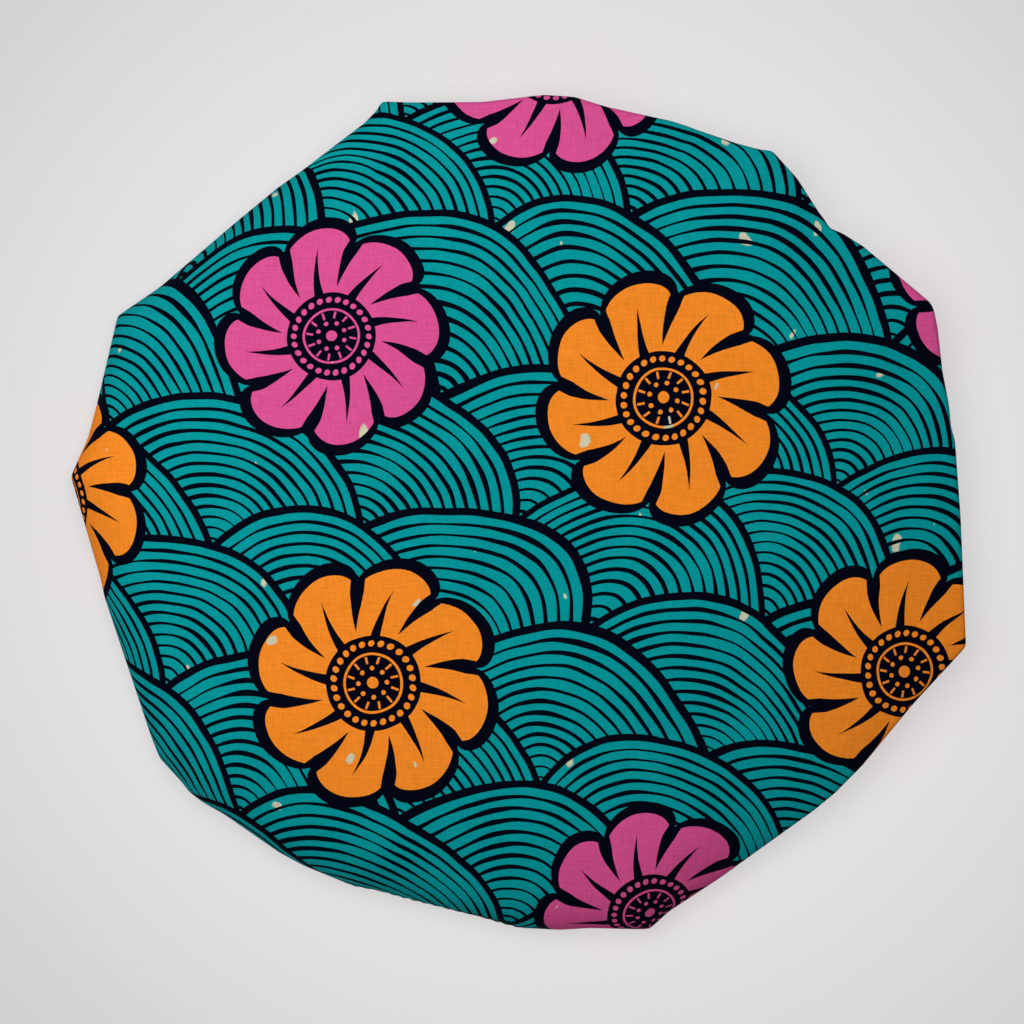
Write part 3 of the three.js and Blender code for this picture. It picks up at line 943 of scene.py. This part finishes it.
    def rosettes(self, made: Surface, place: Socket) -> tuple[Socket, Socket, Socket]:
        """The flowers.

        Returns:
            1 inside a flower, 1 on its ink, and its hue, which is 0 for orange and 1 for pink. Of all the
            flowers the nearest one counts. Its edge is a round lobe for each petal.
        """
        add = made.add
        far: Any = 1e3
        chosen: Any = (0.0, 0.0, 0.0)
        traits: Any = (0.0, 0.0, 0.0)
        for flower in self.blossoms:
            off = add("VectorMath ADD", place, (-flower.x, -flower.y, 0))
            off = add("VectorMath SCALE", off, Scale=self.drawn_radius / flower.radius)
            away = add("VectorMath LENGTH", off, out="Value")
            nearer = add("Math LESS_THAN", away, far)
            far = add("Math MINIMUM", away, far)
            skipped = [None] * 3
            chosen = add("Mix", nearer, *skipped, chosen, off, data_type="VECTOR", out=1)
            own = (flower.turn, float(flower.pink), 0.0)
            traits = add("Mix", nearer, *skipped, traits, own, data_type="VECTOR", out=1)
        turn = add("SeparateXYZ", traits)
        x = add("SeparateXYZ", chosen)
        angle = add("Math ARCTAN2", x.node.outputs[1], x)
        angle = add("Math ADD", angle, turn)
        angle = add("Math MULTIPLY_ADD", far, self.petal_twist, angle)
        half = math.pi / self.petals
        off_middle = add("Math PINGPONG", angle, half)
        inside, ink = self.petal_edges(made, far, off_middle, half)
        for part, gap, widths in (
            (self.vein, off_middle, (self.vein[2], 0.0)),
            (self.notch, add("Math SUBTRACT", half, off_middle), (0.0, self.notch[2])),
        ):
            width = add("MapRange", far, *part[:2], *widths)
            stroke = add("Math LESS_THAN", add("Math MULTIPLY", gap, far), width)
            ink = add("Math MAXIMUM", ink, stroke)
        heart = add("Math LESS_THAN", far, self.heart)
        outside = add("Math SUBTRACT", 1.0, heart)
        for mark in self.heart_marks(made, far, angle):
            heart = add("Math SUBTRACT", heart, mark, use_clamp=True)
        ink = add("Math MULTIPLY_ADD", ink, outside, heart, use_clamp=True)
        return inside, add("Math MULTIPLY", ink, inside), turn.node.outputs[1]

    def petal_edges(self, made: Surface, far: Socket, off: Socket, half: float) -> tuple[Socket, Socket]:
        """1 inside the petals, and 1 on and past their outline. Half an edge is nearly a quarter ellipse."""
        add = made.add
        lobe = add("Math POWER", add("Math MULTIPLY", off, 1 / half), 2.0)
        lobe = add("Math POWER", add("Math MULTIPLY_ADD", lobe, -self.petal_closing, 1.0), 0.5)
        edge = add("Math MULTIPLY_ADD", lobe, self.petal_swell, self.petal_foot)
        inside = add("Math LESS_THAN", far, edge)
        rim = add("Math SUBTRACT", edge, self.outline_width)
        return inside, add("Math GREATER_THAN", far, rim)

    def heart_marks(self, made: Surface, far: Socket, angle: Socket) -> tuple[Socket, ...]:
        """What is left bare in a rosette's black heart: two rings of dots, a band, rays and a pip."""
        add = made.add
        band = add("Math COMPARE", far, *self.band)
        ray = add("Math PINGPONG", angle, math.pi / self.ray_count)
        ray = add("Math LESS_THAN", add("Math MULTIPLY", ray, far), self.ray_width)
        ray = add("Math MULTIPLY", ray, add("Math COMPARE", far, *self.rays))
        pip = add("Math LESS_THAN", far, self.pip)
        return self.dots.mark(made, far, angle), self.pearls.mark(made, far, angle), band, ray, pip

    @staticmethod
    def flecks(made: Surface, place: Socket) -> Socket:
        """Cream flecks 2 to 6 mm long with a soft edge, one in most cells of about 30 by 45 mm."""
        add = made.add
        longer = add("VectorMath MULTIPLY", made.strayed(place, 5, 0.17), (1.0, 0.66, 0))
        cell = add("TexVoronoi", longer, out="Distance", Scale=0.034, voronoi_dimensions="2D")
        size = add("SeparateXYZ", cell.node.outputs["Color"])
        size = add("MapRange", size, 0.2, 1.0, -0.02, 0.076)
        depth = add("Math SUBTRACT", size, cell)
        return add("MapRange", depth, -0.006, 0.014, interpolation_type="SMOOTHSTEP")

    @staticmethod
    def slubs(made: Surface, place: Socket) -> Socket:
        """Thicker threads, about a millimetre wide and 8 mm long, along both ways of the weave."""
        streaks = []
        for stretch in ((0.13, 1.15, 1), (1.15, 0.13, 1)):
            drawn = made.add("VectorMath MULTIPLY", place, stretch)
            streaks.append(made.add("TexNoise", drawn, Scale=1.0, Detail=1.0, Roughness=0.6))
        return made.add("Math MULTIPLY", made.add("Math ADD", *streaks), 0.5)

    def weave(self, made: Surface, place: Socket) -> Socket:
        """Plain weave: the sum of a sine for each way's threads, stronger and weaker from place to place."""
        phase = made.add("VectorMath SCALE", place, Scale=TURN / self.thread_pitch)
        warp = made.add("SeparateXYZ", made.add("VectorMath SINE", phase))
        grid = made.add("Math ADD", warp, warp.node.outputs[1])
        uneven = made.add("TexNoise", place, Scale=0.35, Detail=1.0)
        uneven = made.add("MapRange", uneven, 0.35, 0.65, 0.0, 0.09)
        return made.add("Math MULTIPLY", grid, uneven)


@dataclass(frozen=True)
class SatinWeave:
    """Polyester satin of long smooth floats: black, with a soft and broad gloss along the threads, partly
    from its specular and partly painted as a lighter colour on the floats.
    """

    black: str = "141417"
    float_pitch: float = 0.7  # millimetres; the real one is 0.12, too fine to show

    def build(self, name: str) -> Material:
        """The whole material."""
        made = Surface(name)
        place = made.add("VectorMath SCALE", made.add("UVMap", uv_map=BAKED_MAP), Scale=1000 * CUT_SIDE)
        drawn = made.add("VectorMath MULTIPLY", place, (1.0 / self.float_pitch, 0.12, 1))
        floats = made.add("TexNoise", drawn, Scale=1.0, Detail=1.0)
        cloud = made.add("TexNoise", place, Scale=0.03, Detail=2.0)
        rough = made.add("MapRange", cloud, 0.3, 0.7, 0.3, 0.4)
        # painted sheen: the black runs from 0.8 to 1.3 times its value along the floats
        made.emboss(self.black, floats, (0.2, 0.8, 0.8, 1.3), strength=0.15)
        made.set_shader(Roughness=rough, Specular_IOR_Level=0.6, Anisotropic=0.4, Sheen_Weight=0.1)
        return made.material


@dataclass(frozen=True)
class KnittedElastic:
    """White knitted elastic: polyester chains over rubber, matt, with lengthwise ribs and a chalky white."""

    white: str = "e9e7e1"
    stitches: int = 320  # along the band, about 1.5 mm each
    ribs: int = 6  # round its section, three on each face

    def build(self, name: str) -> Material:
        """The whole material. Its map runs along the band in U and round its section in V."""
        made = Surface(name)
        place = made.add("UVMap", uv_map=BAKED_MAP)
        phase = made.add("VectorMath MULTIPLY", place, (TURN * self.stitches, TURN * self.ribs, 0))
        chain = made.add("SeparateXYZ", made.add("VectorMath SINE", phase))
        rib = chain.node.outputs[1]
        loops = made.add("Math MULTIPLY", chain, rib)
        relief = made.add("Math MULTIPLY_ADD", rib, 0.6, loops)
        # painted shade: the white darkens to 0.8 of itself in the grooves between the ribs and the loops
        made.emboss(self.white, relief, (-1.0, 1.0, 0.8, 1.0), strength=0.6)
        made.set_shader(Roughness=0.8, Sheen_Weight=0.1)
        return made.material


@dataclass(frozen=True)
class SpunThread:
    """Spun polyester thread, two plies twisted: black, slightly hairy, with a dull gleam on each twist that
    is partly painted into its colour and partly its specular.
    """

    black: str = "0c0d12"
    wave_scale: float = 900.0  # the wave texture's, whose bands are then about 0.35 mm apart

    def build(self, name: str) -> Material:
        """The whole material."""
        made = Surface(name)
        place = made.add("TexCoord", out="Object")
        twist = made.add("TexWave", place, Scale=self.wave_scale, Distortion=1.0, Detail=1.0)
        # painted gleam and shade: the black runs from 0.6 to 1.7 times its value over each twist
        made.emboss(self.black, twist, (0.0, 1.0, 0.6, 1.7), strength=0.5, depth=0.0001)
        made.set_shader(Roughness=0.62, Specular_IOR_Level=0.4)
        return made.material


# Pieces


@dataclass
class OuterShell:
    """The round cut of printed cotton."""

    form: BonnetForm
    thickness: float = 0.0003

    def build(self, cotton: Material) -> Piece:
        """Makes the shell and dresses it."""
        piece = ringed_mesh("outer_shell_cloth", self.form.face, self.form.counts, self.form.cut)
        thicken(piece, self.thickness)
        dress(piece, Slot.COTTON, cotton, "outer_shell")
        return declare_round_cut(piece)


@dataclass
class SatinLining:
    """The round cut of satin, ply on ply with the shell, from which its crown hangs a little."""

    form: BonnetForm
    depth: float = 0.0007
    thickness: float = 0.00025
    slack: float = 0.016
    deepest: float = 0.009
    cling_apart: float = 0.056
    cling_size: float = 0.007
    cling_nudge: float = 0.007
    cling_start: float = 1.6  # how far along its spiral the first spot lies, in spots
    least_hold: float = 0.02  # below this a point hangs free
    frames: int = 36

    def hang(self, rings: Array) -> Array:
        """Lets the crown sag under its own weight, in a cloth simulation.

        Args:
            rings: The lining as it lies against the shell, rings by columns by 3.

        Returns:
            The rings with the crown's kept points moved. The cloth is a little larger than its place, and is
            held along its outer edge and at scattered spots where it clings to the shell, so it billows
            between them. A tanh of the way moved keeps every point within the deepest sag.
        """
        counts = self.form.counts[: -self.form.outer_rings]
        crown = ringed_mesh("hanging satin", rings, counts)
        kept = [slice(None, None, COLUMNS // count) for count in counts]
        points = np.concatenate([rings[k][pick] for k, pick in enumerate(kept)])
        spots = self.cling_spots(points)
        gaps = np.linalg.norm(points[:, None, :2] - spots[None], axis=-1).min(axis=1)
        held = np.exp(-((gaps / self.cling_size) ** 2))
        held[-2 * counts[-1]:] = 1
        moved = self.simulated(crown, held)
        way = moved - points
        far = np.linalg.norm(way, axis=1, keepdims=True)
        way *= self.deepest * np.tanh(far / self.deepest) / np.maximum(far, 1e-9)
        way[:, 2] = -np.abs(way[:, 2])
        hung = rings.copy()
        start = 0
        for k, (count, pick) in enumerate(zip(counts, kept)):
            hung[k][pick] += way[start : start + count]
            start += count
        return hung

    def simulated(self, crown: Piece, held: Array) -> Array:
        """Runs the cloth simulation on the crown, removes the crown, and returns its points where they hang.

        Args:
            crown: The crown's mesh object.
            held: For each point, how firmly it is held, from 0 to 1.
        """
        group = crown.vertex_groups.new(name="held")
        for number in np.flatnonzero(held > self.least_hold).tolist():
            group.add([number], float(held[number]), "REPLACE")
        cloth = crown.modifiers.new("hang", "CLOTH")
        cloth.settings.vertex_group_mass = group.name
        cloth.settings.quality = 6
        cloth.settings.mass = 0.08
        cloth.settings.tension_stiffness = cloth.settings.compression_stiffness = 12
        cloth.settings.shear_stiffness = 4
        cloth.settings.bending_stiffness = 0.02
        cloth.settings.shrink_min = -self.slack
        cloth.collision_settings.use_collision = False
        cloth.point_cache.frame_start = 1
        cloth.point_cache.frame_end = self.frames
        scene = bpy.context.scene
        for number in range(1, self.frames + 1):
            scene.frame_set(number)
        shaped = crown.evaluated_get(bpy.context.evaluated_depsgraph_get()).data
        moved = np.empty(len(shaped.vertices) * 3, dtype=np.float32)
        shaped.vertices.foreach_get("co", moved)
        scene.frame_set(1)
        bpy.data.meshes.remove(crown.data)
        return moved.reshape(-1, 3)

    def cling_spots(self, points: Array) -> Array:
        """Spots on a sunflower spiral, each nudged at random, out to the edge of the hanging part."""
        reach = float(np.hypot(points[:, 0], points[:, 1]).max())
        count = int((reach / self.cling_apart) ** 2 * math.pi)
        number = np.arange(count) + self.cling_start
        radius = reach * np.sqrt(number / count)
        turn = number * math.pi * (3 - math.sqrt(5))
        spots = np.stack([radius * np.cos(turn), radius * np.sin(turn)], axis=1)
        return spots + np.random.default_rng(41).normal(0, self.cling_nudge, spots.shape)

    def build(self, satin: Material) -> Piece:
        """Makes the lining inside the shell and dresses it."""
        rings = self.form.at_depth(self.depth)
        rings = self.hang(rings)
        piece = ringed_mesh("satin_lining_cloth", rings, self.form.counts, self.form.cut)
        thicken(piece, self.thickness)
        dress(piece, Slot.SATIN, satin, "satin_lining")
        return declare_round_cut(piece)


@dataclass
class Casing:
    """The strip that is folded round the plies' raw edge and makes the elastic's channel."""

    form: BonnetForm
    thickness: float = 0.0004
    strip_length: float = 0.62
    strip_width: float = 0.056
    map_share: float = 0.9  # of the strip's length in its map, which has to fit the round cut's square
    map_low: float = -0.25  # where the map's strip starts across the square
    section_step: float = 0.0014
    section_walk: int = 700  # points of the section before it is rounded
    rounding: float = 0.0006
    pucker: float = 0.0023
    pucker_waves: tuple[int, int] = (52, 92)  # in one turn
    unevenness: float = 0.0004
    uneven_waves: tuple[int, int] = (30, 70)
    ruffle: float = 0.0013  # how far the fold at the mouth stands in where the channel puffs out
    fold_radius: float = 0.0702
    fold_reach: float = 0.0022

    # Radius and height of the strip's middle, from the lower flange's hidden edge round the mouth to the
    # upper one's. The third number is how much a point follows the sewn plies, the fourth how much it puffs
    line: tuple[tuple[float, float, float, float], ...] = (
        (0.0862, 0.0048, 1, 0), (0.0891, 0.0048, 1, 0), (0.0897, 0.0043, 1, 0), (0.0888, 0.0041, 1, 0),
        (0.0878, 0.0043, 1, 0), (0.0861, 0.0040, 1, 0), (0.0844, 0.0043, 1, 0), (0.0830, 0.0045, 1, -0.1),
        (0.0800, 0.0060, 0.6, -0.8), (0.0770, 0.0068, 0.2, -1), (0.0735, 0.0070, 0, -0.7),
        (0.0712, 0.0076, 0, -0.2), (0.0702, 0.0093, 0, 0), (0.0712, 0.0110, 0, 0.2), (0.0735, 0.0117, 0, 0.7),
        (0.0770, 0.0118, 0.2, 1), (0.0800, 0.0108, 0.6, 0.8), (0.0830, 0.0078, 1, 0.1),
        (0.0844, 0.0078, 1, 0), (0.0861, 0.0081, 1, 0), (0.0878, 0.0078, 1, 0), (0.0888, 0.0080, 1, 0),
        (0.0897, 0.0078, 1, 0), (0.0891, 0.0073, 1, 0), (0.0862, 0.0073, 1, 0),
    )

    def section(self) -> Array:
        """The section walked in even steps and rounded by a bell curve, one row for each point."""
        corners = np.array(self.line)
        last = self.section_walk - 1
        walked = np.concatenate([[0], np.cumsum(np.hypot(*np.diff(corners[:, :2], axis=0).T))])
        fine = np.linspace(0, walked[-1], self.section_walk)
        rows = np.stack([np.interp(fine, walked, corners[:, k]) for k in range(4)])
        spread = self.rounding / (walked[-1] / last)
        reach = int(4 * spread)
        bell = np.exp(-((np.arange(-reach, reach + 1) / spread) ** 2) / 2)
        padded = np.pad(rows, ((0, 0), (reach, reach)), mode="edge")
        rounded = np.stack([np.convolve(row, bell / bell.sum(), mode="valid") for row in padded])
        picks = np.linspace(0, last, round(walked[-1] / self.section_step)).round().astype(int)
        return rounded[:, picks].T

    def puckers(self) -> Array:
        """How far the channel puffs out at each column, from 0 to about 1."""
        return 0.5 + 0.5 * np.tanh(0.9 * ripple(COLUMN_ANGLES, *self.pucker_waves, 21))

    def plies_wave(self) -> Array:
        """How far the sewn plies stand above their valleys at each column."""
        return self.form.face[-2, :, 2] - self.form.seam_low

    def place(self, section: Array) -> Array:
        """The strip's points, rows by columns by 3, ruffled at the fold by a bell curve of its radius."""
        radius, height, follow, puff = (section[:, k, None] for k in range(4))
        puckers = self.puckers()[None, :]
        lifted = height + follow * self.plies_wave()[None, :] + puff * self.pucker * puckers
        uneven = np.abs(puff) * self.unevenness * ripple(COLUMN_ANGLES, *self.uneven_waves, 22)[None, :]
        fold = np.exp(-(((radius - self.fold_radius) / self.fold_reach) ** 2))
        return around(radius + uneven - fold * self.ruffle * puckers, COLUMN_ANGLES, lifted)

    def build(self, cotton: Material) -> Piece:
        """Makes the strip and dresses it."""
        points = self.place(self.section())
        rows = len(points)
        across = np.linspace(0, self.strip_width, rows)[:, None] + self.map_low + 0 * COLUMN_ANGLES
        along = (COLUMN_ANGLES / TURN - 0.5) * self.strip_length * self.map_share + 0 * across
        cut = np.stack([along, across], axis=-1)
        faces = grid_faces(rows, COLUMNS)[:, ::-1].tolist()
        piece = mesh_piece("casing_strip_cloth", points, faces, cut / CUT_SIDE + 0.5)
        self.open_seam(piece)
        thicken(piece, self.thickness, offset=0)
        dress(piece, Slot.COTTON, cotton, "casing_strip")
        return piece

    def open_seam(self, piece: Piece) -> None:
        """Cuts the strip's map open where the strip starts, so that it doesn't run back there."""
        layer = piece.data.uv_layers[0].data
        flat = np.empty(len(layer) * 2, dtype=np.float32)
        layer.foreach_get("uv", flat)
        corners = flat.reshape(-1, 4, 2)
        wide = corners[:, :, 0].max(axis=1) - corners[:, :, 0].min(axis=1) > 0.5
        turn = self.strip_length * self.map_share / CUT_SIDE
        corners[wide, :, 0] += np.where(corners[wide, :, 0] < 0.5, turn, 0)
        layer.foreach_set("uv", corners.ravel())


@dataclass
class ElasticBand:
    """The flat knitted elastic in the channel, lapped over its own start."""

    inner: float = 0.0716
    width: float = 0.0064
    thickness: float = 0.001
    middle_height: float = 0.0082
    lap: float = 0.02
    ramp: float = 0.009
    climb: float = 0.0013
    ribs: int = 6  # across its width
    rib_depth: float = 0.06  # as a share of its thickness
    squareness: float = 5.0  # power of the section's rounded rectangle
    sections: int = 480
    sides: int = 48

    @property
    def middle(self) -> float:
        """Radius of the band's middle."""
        return self.inner + self.width / 2

    @property
    def lap_turn(self) -> float:
        """Angle that the lap takes."""
        return self.lap / self.middle

    def section(self) -> tuple[Array, Array]:
        """The band's section, across and up: a rectangle with round corners and ribbed broad faces."""
        turn = np.linspace(0, TURN, self.sides, endpoint=False)
        waves = np.cos(turn), np.sin(turn)
        across, up = (np.sign(wave) * np.abs(wave) ** (2 / self.squareness) for wave in waves)
        ribs = 1 + self.rib_depth * np.cos(across / 2 * TURN * self.ribs)
        return across * self.width / 2, up * self.thickness / 2 * ribs

    def build(self, elastic: Material) -> Piece:
        """Sweeps the section once round the mouth and over its own start, and dresses it."""
        whole = TURN + self.lap_turn
        turn = np.linspace(0, whole, self.sections)[:, None]
        across, up = self.section()
        climb = self.climb * eased((turn - TURN + self.ramp / self.middle) / (self.ramp / self.middle))
        points = around(self.middle + across, turn, self.middle_height + climb + up)
        places = np.stack(np.broadcast_arrays(turn / whole, np.arange(self.sides) / self.sides), axis=-1)
        piece = mesh_piece("elastic_band_knit", points, tube_faces(self.sections, self.sides), places)
        return dress(piece, Slot.ELASTIC, elastic, "elastic_band")


class Side(Enum):
    """Which flange of the casing a thread lies on."""

    LOWER = -1
    UPPER = 1


@dataclass
class StitchRow:
    """One thread of a row of lockstitches: a short arch for each stitch, dipping in at both ends."""

    casing: Casing
    name: str
    node: str
    radius: float
    side: Side
    thread: float = 0.00042
    pitch: float = 0.0025
    gap: float = 0.0003
    dip: float = 0.00022  # of the thread's middle below the flange's face, at a stitch's ends
    rise: float = 0.00012  # and above it, halfway
    bluntness: float = 0.05  # of a stitch's ends: the square of their size, as a share of the thread's
    steps: int = 7
    sides: int = 6

    def build(self, thread: Material) -> Piece:
        """Makes the row and dresses it.

        Each stitch's centre line follows the flange's face along the ring and rises as a parabola from below
        the face at its ends to above it in the middle. Round it runs a ring of points, smaller at both ends.
        """
        count = round(TURN * self.radius / self.pitch)
        share = np.linspace(-1, 1, self.steps)[None, :]
        half = (self.pitch - self.gap) / 2 / self.radius
        angle = np.arange(count)[:, None] * TURN / count + share * half
        lift = mix(-self.dip, self.rise, 1 - share**2)
        face = self.flange_height(angle) + self.side.value * (self.casing.thickness / 2 + lift)
        size = self.thread / 2 * np.sqrt(np.clip(1 + self.bluntness - share**2, 0, 1)) * np.ones_like(angle)
        turn = np.arange(self.sides) * TURN / self.sides
        radius = self.radius + size[..., None] * np.cos(turn)
        points = around(radius, angle[..., None], face[..., None] + size[..., None] * np.sin(turn))
        each = self.steps * self.sides
        starts = np.arange(count)[:, None] * each
        one = grid_faces(self.steps, self.sides)
        faces = (one[None] + starts[..., None]).reshape(-1, 4).tolist()
        ends = np.arange(self.sides)
        faces += (starts + ends).tolist() + (starts + each - 1 - ends).tolist()
        piece = mesh_piece(self.name, points, faces)
        return dress(piece, Slot.THREAD, thread, self.node)

    def flange_height(self, angle: Array) -> Array:
        """Height of the flange's middle under the row, clear of the three points of its hidden edge."""
        section = self.casing.section()
        half = len(section) // 2
        seen = section[3:half] if self.side is Side.LOWER else section[half:-3]
        order = np.argsort(seen[:, 0])
        level = float(np.interp(self.radius, seen[order, 0], seen[order, 1]))
        return level + np.interp(angle % TURN, COLUMN_ANGLES, self.casing.plies_wave(), period=TURN)


@dataclass
class LapZigzag:
    """The zigzag thread that joins the elastic's lapped ends."""

    band: ElasticBand
    thread: float = 0.0004
    length: float = 0.014
    legs: int = 8
    margin: float = 0.001
    dip: float = 0.00035  # at the turns, where the needle went through
    dip_share: float = 0.07  # of a leg, over which it dips
    steps: int = 12  # on each leg
    sides: int = 8

    def build(self, thread: Material) -> Piece:
        """Carries a ring of points along the zigzag, which lies on the lap, and dresses it."""
        reach = self.band.width / 2 - self.margin
        corners = np.arange(self.legs + 1)
        fine = np.linspace(0, self.legs, self.legs * self.steps + 1)
        across = np.interp(fine, corners, np.where(corners % 2, reach, -reach))
        along = np.interp(fine, corners, corners * self.length / self.legs - self.length / 2)
        dip = self.dip * np.exp(-(((fine - fine.round()) / self.dip_share) ** 2))
        top = self.band.middle_height + self.band.climb + self.band.thickness / 2
        line = np.stack([across, along, top + self.thread / 2 - dip], axis=1)
        way = np.gradient(line, axis=0)
        way /= np.linalg.norm(way, axis=1, keepdims=True)
        side = np.cross(way, (0, 0, 1))
        side /= np.linalg.norm(side, axis=1, keepdims=True)
        up = np.cross(side, way)
        turn = np.arange(self.sides) * TURN / self.sides
        ring = np.cos(turn)[None, :, None] * side[:, None] + np.sin(turn)[None, :, None] * up[:, None]
        local = line[:, None] + ring * self.thread / 2
        angle = self.band.lap_turn / 2
        cos, sin = math.cos(angle), math.sin(angle)
        x, y = self.band.middle + local[..., 0], local[..., 1]
        points = np.stack([x * cos - y * sin, x * sin + y * cos, local[..., 2]], axis=-1)
        faces = [face[::-1] for face in tube_faces(len(line), self.sides)]
        piece = mesh_piece("elastic_join_zigzag", points, faces)
        return dress(piece, Slot.THREAD, thread, "elastic_join_thread")


# Floor, light and camera


@dataclass
class Studio:
    """A pale floor with a painted glow, one broad soft lamp from the upper left, and a camera straight above.
    """

    frame_width: float = 0.4004  # metres seen across the picture at the lens's height for the rim
    aim: tuple[float, float] = (-0.0024, 0.0001)
    rim_height: float = 0.01
    camera_height: float = 1.6
    sensor: float = 36.0
    floor_side: float = 12.0
    paper: str = "e3e1e2"
    paper_tint: tuple[float, float, float] = (1.0, 0.972, 0.978)
    paint_share: float = 0.3
    # painted light on the floor, seen by the camera and in reflections: its glow in the middle and far out
    glow_middle: float = 0.552
    glow_far: float = 0.414
    glow_reach: tuple[float, float] = (0.13, 0.32)  # from the middle, where the glow starts and ends to fall
    # painted light that rises towards the lower right, where the lamp's light falls off
    glow_slope: tuple[float, float, float] = (0.22, -0.15, 0.0)
    slope_limit: float = 0.08
    lamp_place: tuple[float, float, float] = (-0.27, 0.26, 0.88)
    lamp_size: float = 1.1
    lamp_watts: float = 9.5
    sky_strength: float = 0.17
    sky: str = "f4f6fa"
    far_wall: str = "bcbabb"  # what the camera sees beyond the floor

    def build(self) -> None:
        """Makes the floor, the lamps, the world and the camera."""
        self.floor()
        self.light()
        self.world()
        self.camera()

    def floor(self) -> None:
        """A matt paper floor.

        To the camera and in reflections it is part paint and part glow, which is painted light: a pale
        middle that falls off towards the corners, with a slight slope across that brightens it towards the
        lower right, where the lamp's light falls off. The paint's part keeps the bonnet's soft shadow.
        Diffuse rays meet plain pale paper.
        """
        half = self.floor_side / 2
        corners = np.array([(-half, -half, 0), (half, -half, 0), (half, half, 0), (-half, half, 0)])
        paper = mesh_piece("floor_paper", corners, [[0, 1, 2, 3]])
        made = Surface("backdrop paper with painted glow")
        add = made.add
        place = add("TexCoord", out="Object")
        # painted light: a glow that falls off from the middle and slopes across
        far = add("VectorMath LENGTH", place, out="Value")
        glow = add("MapRange", far, *self.glow_reach, self.glow_middle, self.glow_far,
                   interpolation_type="SMOOTHSTEP")
        slope = add("VectorMath DOT_PRODUCT", place, self.glow_slope, out="Value")
        slope = add("Clamp", slope, -self.slope_limit, self.slope_limit)
        glow = add("Math ADD", glow, slope)
        seen = add("LightPath", out="Is Camera Ray")
        for ray in ("Is Glossy Ray", "Is Transmission Ray"):
            seen = add("Math MAXIMUM", seen, add("LightPath", out=ray))
        glow = add("Math MULTIPLY", glow, seen)
        tone = add("VectorMath SCALE", self.paper_tint, Scale=glow)
        paint = add("MixRGB", seen, colour(self.paper), (*[self.paint_share * t for t in self.paper_tint], 1))
        made.set_shader(Base_Color=paint, Emission_Color=tone)
        made.set_shader(Emission_Strength=1.0, Roughness=0.95, Specular_IOR_Level=0.0)
        paper.data.materials.append(made.material)

    def light(self) -> None:
        """One broad lamp above, turned to the frame's middle: first tipped back from it, then round."""
        lamp = bpy.data.lights.new("soft lamp", "AREA")
        lamp.shape = "DISK"
        lamp.size = self.lamp_size
        lamp.energy = self.lamp_watts
        shown = bpy.data.objects.new("soft lamp", lamp)
        x, y, z = shown.location = self.lamp_place
        shown.rotation_euler = (math.atan2(math.hypot(x, y), z), 0, math.atan2(-x, y))
        bpy.context.scene.collection.objects.link(shown)

    def world(self) -> None:
        """An even pale sky that lights the bonnet, seen by the camera as a plain wall beyond the floor."""
        world = bpy.data.worlds.new("studio air")
        world.use_nodes = True
        tree = world.node_tree
        seen = tree.nodes.new("ShaderNodeLightPath").outputs["Is Camera Ray"]
        blend = tree.nodes.new("ShaderNodeMixRGB")
        tree.links.new(seen, blend.inputs[0])
        blend.inputs[1].default_value = tuple(self.sky_strength * part for part in colour(self.sky))
        blend.inputs[2].default_value = colour(self.far_wall)
        tree.links.new(blend.outputs[0], tree.nodes["Background"].inputs["Color"])
        bpy.context.scene.world = world

    def camera(self) -> None:
        """A camera that looks straight down, with the photograph's frame."""
        lens = bpy.data.cameras.new("overhead camera")
        lens.sensor_width = self.sensor
        lens.lens = self.sensor * (self.camera_height - self.rim_height) / self.frame_width
        shown = bpy.data.objects.new("overhead camera", lens)
        shown.location = (*self.aim, self.camera_height)
        bpy.context.scene.collection.objects.link(shown)
        bpy.context.scene.camera = shown
        bpy.context.scene.view_settings.view_transform = "Standard"


CREASES = (
    Crease(((0.1027, 0.1288), (0.1085, 0.1167), (0.118, 0.1134), (0.126, 0.1115)), 0.0030, hidden=0.003,
           slide=0.002, edge=0.009),
    Crease(((0.0465, 0.1463), (0.0602, 0.1433), (0.0672, 0.1498), (0.0700, 0.1545)), 0.0014, facing=-1,
           hidden=0.0015, slide=0.001, edge=0.007),
    Crease(((-0.0557, 0.1373), (-0.0615, 0.1404), (-0.067, 0.1416), (-0.0765, 0.1388), (-0.084, 0.136)),
           0.0032, hidden=0.0025, slide=0.002),
)
SEAM_ROWS = {"edge_row": 0.0878, "channel_row": 0.0844}  # radius of each row of lockstitches
THREADS = {"needle": Side.LOWER, "bobbin": Side.UPPER}


def main() -> None:
    """Builds the bonnet's pieces in the order of its making, and then the studio."""
    logging.basicConfig(level=logging.INFO, format="%(message)s")
    cotton = WaxPrint().build("wax-printed plain cotton")
    satin = SatinWeave().build("black polyester satin")
    knit = KnittedElastic().build("white knitted elastic")
    spun = SpunThread().build("black spun polyester thread")
    form = BonnetForm(creases=CREASES)
    casing = Casing(form)
    band = ElasticBand()
    made = [
        OuterShell(form).build(cotton),
        SatinLining(form).build(satin),
        casing.build(cotton),
        band.build(knit),
        LapZigzag(band).build(spun),
    ]
    for row, radius in SEAM_ROWS.items():
        for kind, side in THREADS.items():
            stitches = StitchRow(casing, f"{row}_{kind}_stitches", f"{row}_{kind}_thread", radius, side)
            made.append(stitches.build(spun))
    for piece in made:
        log.info("%s: %d faces", piece.name, len(piece.data.polygons))
    Studio().build()


if __name__ == "__main__":
    main()
